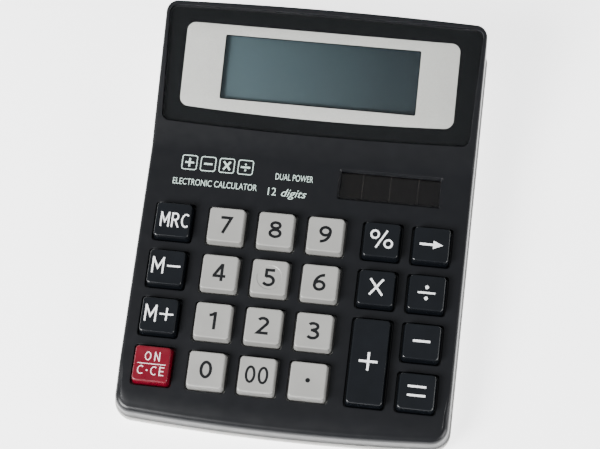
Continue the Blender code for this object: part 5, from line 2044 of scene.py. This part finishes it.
@dataclass
class Foot:
    """A glued rubber foot with a rounded edge and a shallow hollow in its face."""

    node: str
    edge: float = 0.35
    hollow: float = 0.55  # of its radius
    hollow_depth: float = 0.15

    def build(self) -> None:
        """Builds the foot."""
        half, centre = footprint(self.node)
        radius = half[0]
        bottom, top = (corner[2] for corner in extent(self.node))
        hollow = radius * self.hollow
        roof = bottom + self.hollow_depth
        profile = [(0, roof), (hollow, roof), (hollow + 0.2, bottom)]
        for angle in np.linspace(0, math.pi / 2, 6):
            inset, lift = self.edge * (1 - math.sin(angle)), self.edge * (1 - math.cos(angle))
            profile.append((radius - inset, bottom + lift))
        profile += [(radius, top), (0, top)]
        mesh = turned(profile, centre).mesh(f"{self.node}_rubber")
        add_piece(f"{self.node}_rubber", mesh, FOOT_RUBBER, Slot.FOOT_RUBBER, replaces=[self.node])


INNER_FINISHES: dict[str, Finish] = {
    "main_board": BOARD,
    "chip_cover": EPOXY,
    "board_capacitor": EPOXY,
    "lcd_reflector": FOIL,
    "lcd_retainer": WHITE_PLASTIC,
    "lcd_ribbon": RIBBON,
    "battery_cell": STEEL,
    "battery_contact_positive": STEEL,
    "battery_contact_negative": STEEL,
    "battery_wire_positive": RED_WIRE,
    "battery_wire_negative": BLACK_WIRE,
    "solar_wire_positive": RED_WIRE,
    "solar_wire_negative": BLACK_WIRE,
}


def dress_inner_nodes() -> None:
    """Gives the CAD nodes that stay their procedural materials."""
    for node, finish in INNER_FINISHES.items():
        data = frame["nodes"][node].data
        data.materials.clear()
        data.materials.append(finish.material())
        LOG.info("%s: dressed in %s", node, finish.name)


# ---- studio ----
@dataclass(frozen=True)
class Softbox:
    """A square area light: where it hangs, its side, its power in watts and its colour, aimed at the deck."""

    name: str
    place: tuple[float, float, float]
    side: float
    power: float
    colour: Colour = (1.0, 1.0, 1.0)

    def build(self) -> None:
        """Hangs the light."""
        data = bpy.data.lights.new(self.name, "AREA")
        data.size = self.side * MM
        data.energy = self.power
        data.color = self.colour
        lamp = bpy.data.objects.new(self.name, data)
        bpy.context.scene.collection.objects.link(lamp)
        lamp.visible_transmission = False  # light passes the lens and the solar window as shadow rays
        place = Vector(self.place) * MM
        lamp.location = place
        lamp.rotation_euler = (-place).to_track_quat("-Z", "Y").to_euler()


@dataclass
class Studio:
    """A pale floor, soft lights and the camera."""

    floor_side: float = 6000.0
    floor_glow: float = 2.5  # light that the floor gives off, as a lit table does
    sky: Colour = (0.93, 0.96, 1.0)
    sky_strength: float = 0.35
    softboxes: Sequence[Softbox] = (
        Softbox("light_left", (-520, -480, 560), 420, 20.0),
        Softbox("light_right", (680, -260, 340), 420, 5.0),
        Softbox("light_back", (-420, 760, 300), 300, 1.5),
    )
    aim: tuple[float, float, float] = (-1.05, -1.5, 18.3)
    distance: float = 585.35
    azimuth: float = 14.34
    elevation: float = 67.39
    roll: float = -7.78
    focal_length: float = 102.0

    def build(self) -> None:
        """Builds the floor, the lights and the camera."""
        self.floor()
        world = bpy.data.worlds.new("sky")
        world.use_nodes = True
        background = world.node_tree.nodes["Background"]
        background.inputs["Color"].default_value = (*self.sky, 1)
        background.inputs["Strength"].default_value = self.sky_strength
        bpy.context.scene.world = world
        for softbox in self.softboxes:
            softbox.build()
        self.camera()

    def floor(self) -> None:
        """The floor, a square under the feet."""
        mesh = bpy.data.meshes.new("floor")
        square = at_level(rounded((self.floor_side / 2, self.floor_side / 2), 0, steps=1), 0)
        mesh.from_pydata((square * MM).tolist(), [], [list(range(len(square)))])
        floor = bpy.data.objects.new("floor", mesh)
        bpy.context.scene.collection.objects.link(floor)
        paint = Finish("floor_paint", (0.94, 0.94, 0.94), 0.7, mottle=0.01, mottle_size=300, grain_depth=0.0)
        mesh.materials.append(paint.material())
        shader = paint.material().node_tree.nodes["Principled BSDF"]
        shader.inputs["Emission Color"].default_value = (1, 1, 1, 1)
        shader.inputs["Emission Strength"].default_value = self.floor_glow
        self.one_sided(paint.material())

    def one_sided(self, material: bpy.types.Material) -> None:
        """Makes the floor clear from below, so that the underside can be looked at."""
        nodes, links = material.node_tree.nodes, material.node_tree.links
        mix = nodes.new("ShaderNodeMixShader")
        links.new(nodes.new("ShaderNodeNewGeometry").outputs["Backfacing"], mix.inputs["Fac"])
        links.new(nodes["Principled BSDF"].outputs["BSDF"], mix.inputs[1])
        links.new(nodes.new("ShaderNodeBsdfTransparent").outputs["BSDF"], mix.inputs[2])
        links.new(mix.outputs["Shader"], nodes["Material Output"].inputs["Surface"])

    def camera(self) -> None:
        """The camera, turned about its own axis by the roll."""
        turn, lift, roll = (math.radians(angle) for angle in (self.azimuth, self.elevation, self.roll))
        ahead = Vector((-math.sin(turn) * math.cos(lift), math.cos(turn) * math.cos(lift), -math.sin(lift)))
        level = Vector((math.cos(turn), math.sin(turn), 0))
        right = level * math.cos(roll) + level.cross(ahead) * math.sin(roll)
        up = right.cross(ahead)
        data = bpy.data.cameras.new("camera")
        data.lens = self.focal_length
        data.clip_start = 0.01
        camera = bpy.data.objects.new("camera", data)
        bpy.context.scene.collection.objects.link(camera)
        place = (Vector(self.aim) - ahead * self.distance) * MM
        turned_axes = Matrix((right, up, -ahead)).transposed().to_4x4()
        camera.matrix_world = Matrix.Translation(place) @ turned_axes
        bpy.context.scene.camera = camera


def main() -> None:
    """Builds every piece in order, then the studio."""
    logging.basicConfig(level=logging.INFO, format="%(name)s: %(message)s")
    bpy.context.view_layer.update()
    form = CaseForm()
    lens = LensShape()
    keypad = Keypad()
    key_nodes = [cap.node for cap in keypad.caps]
    TopCase(form, [KeyHole(node) for node in key_nodes], lens).build()
    BottomCase(form, CASE_SCREWS, FEET).build()
    BatteryCover().build()
    keypad.build()
    Display(lens).build()
    SolarPanel().build()
    DeckPrint().build()
    KeyMat(key_nodes).build()
    for node in CASE_SCREWS:
        Screw(node, WORLD, head_height=1.4, shank_radius=0.95).build()
    for node in BOARD_SCREWS:
        Screw(node, KEYPAD, head_height=0.8, shank_radius=1.0).build()
    for node in FEET:
        Foot(node).build()
    dress_inner_nodes()
    Studio().build()


if __name__ == "__main__":
    main()
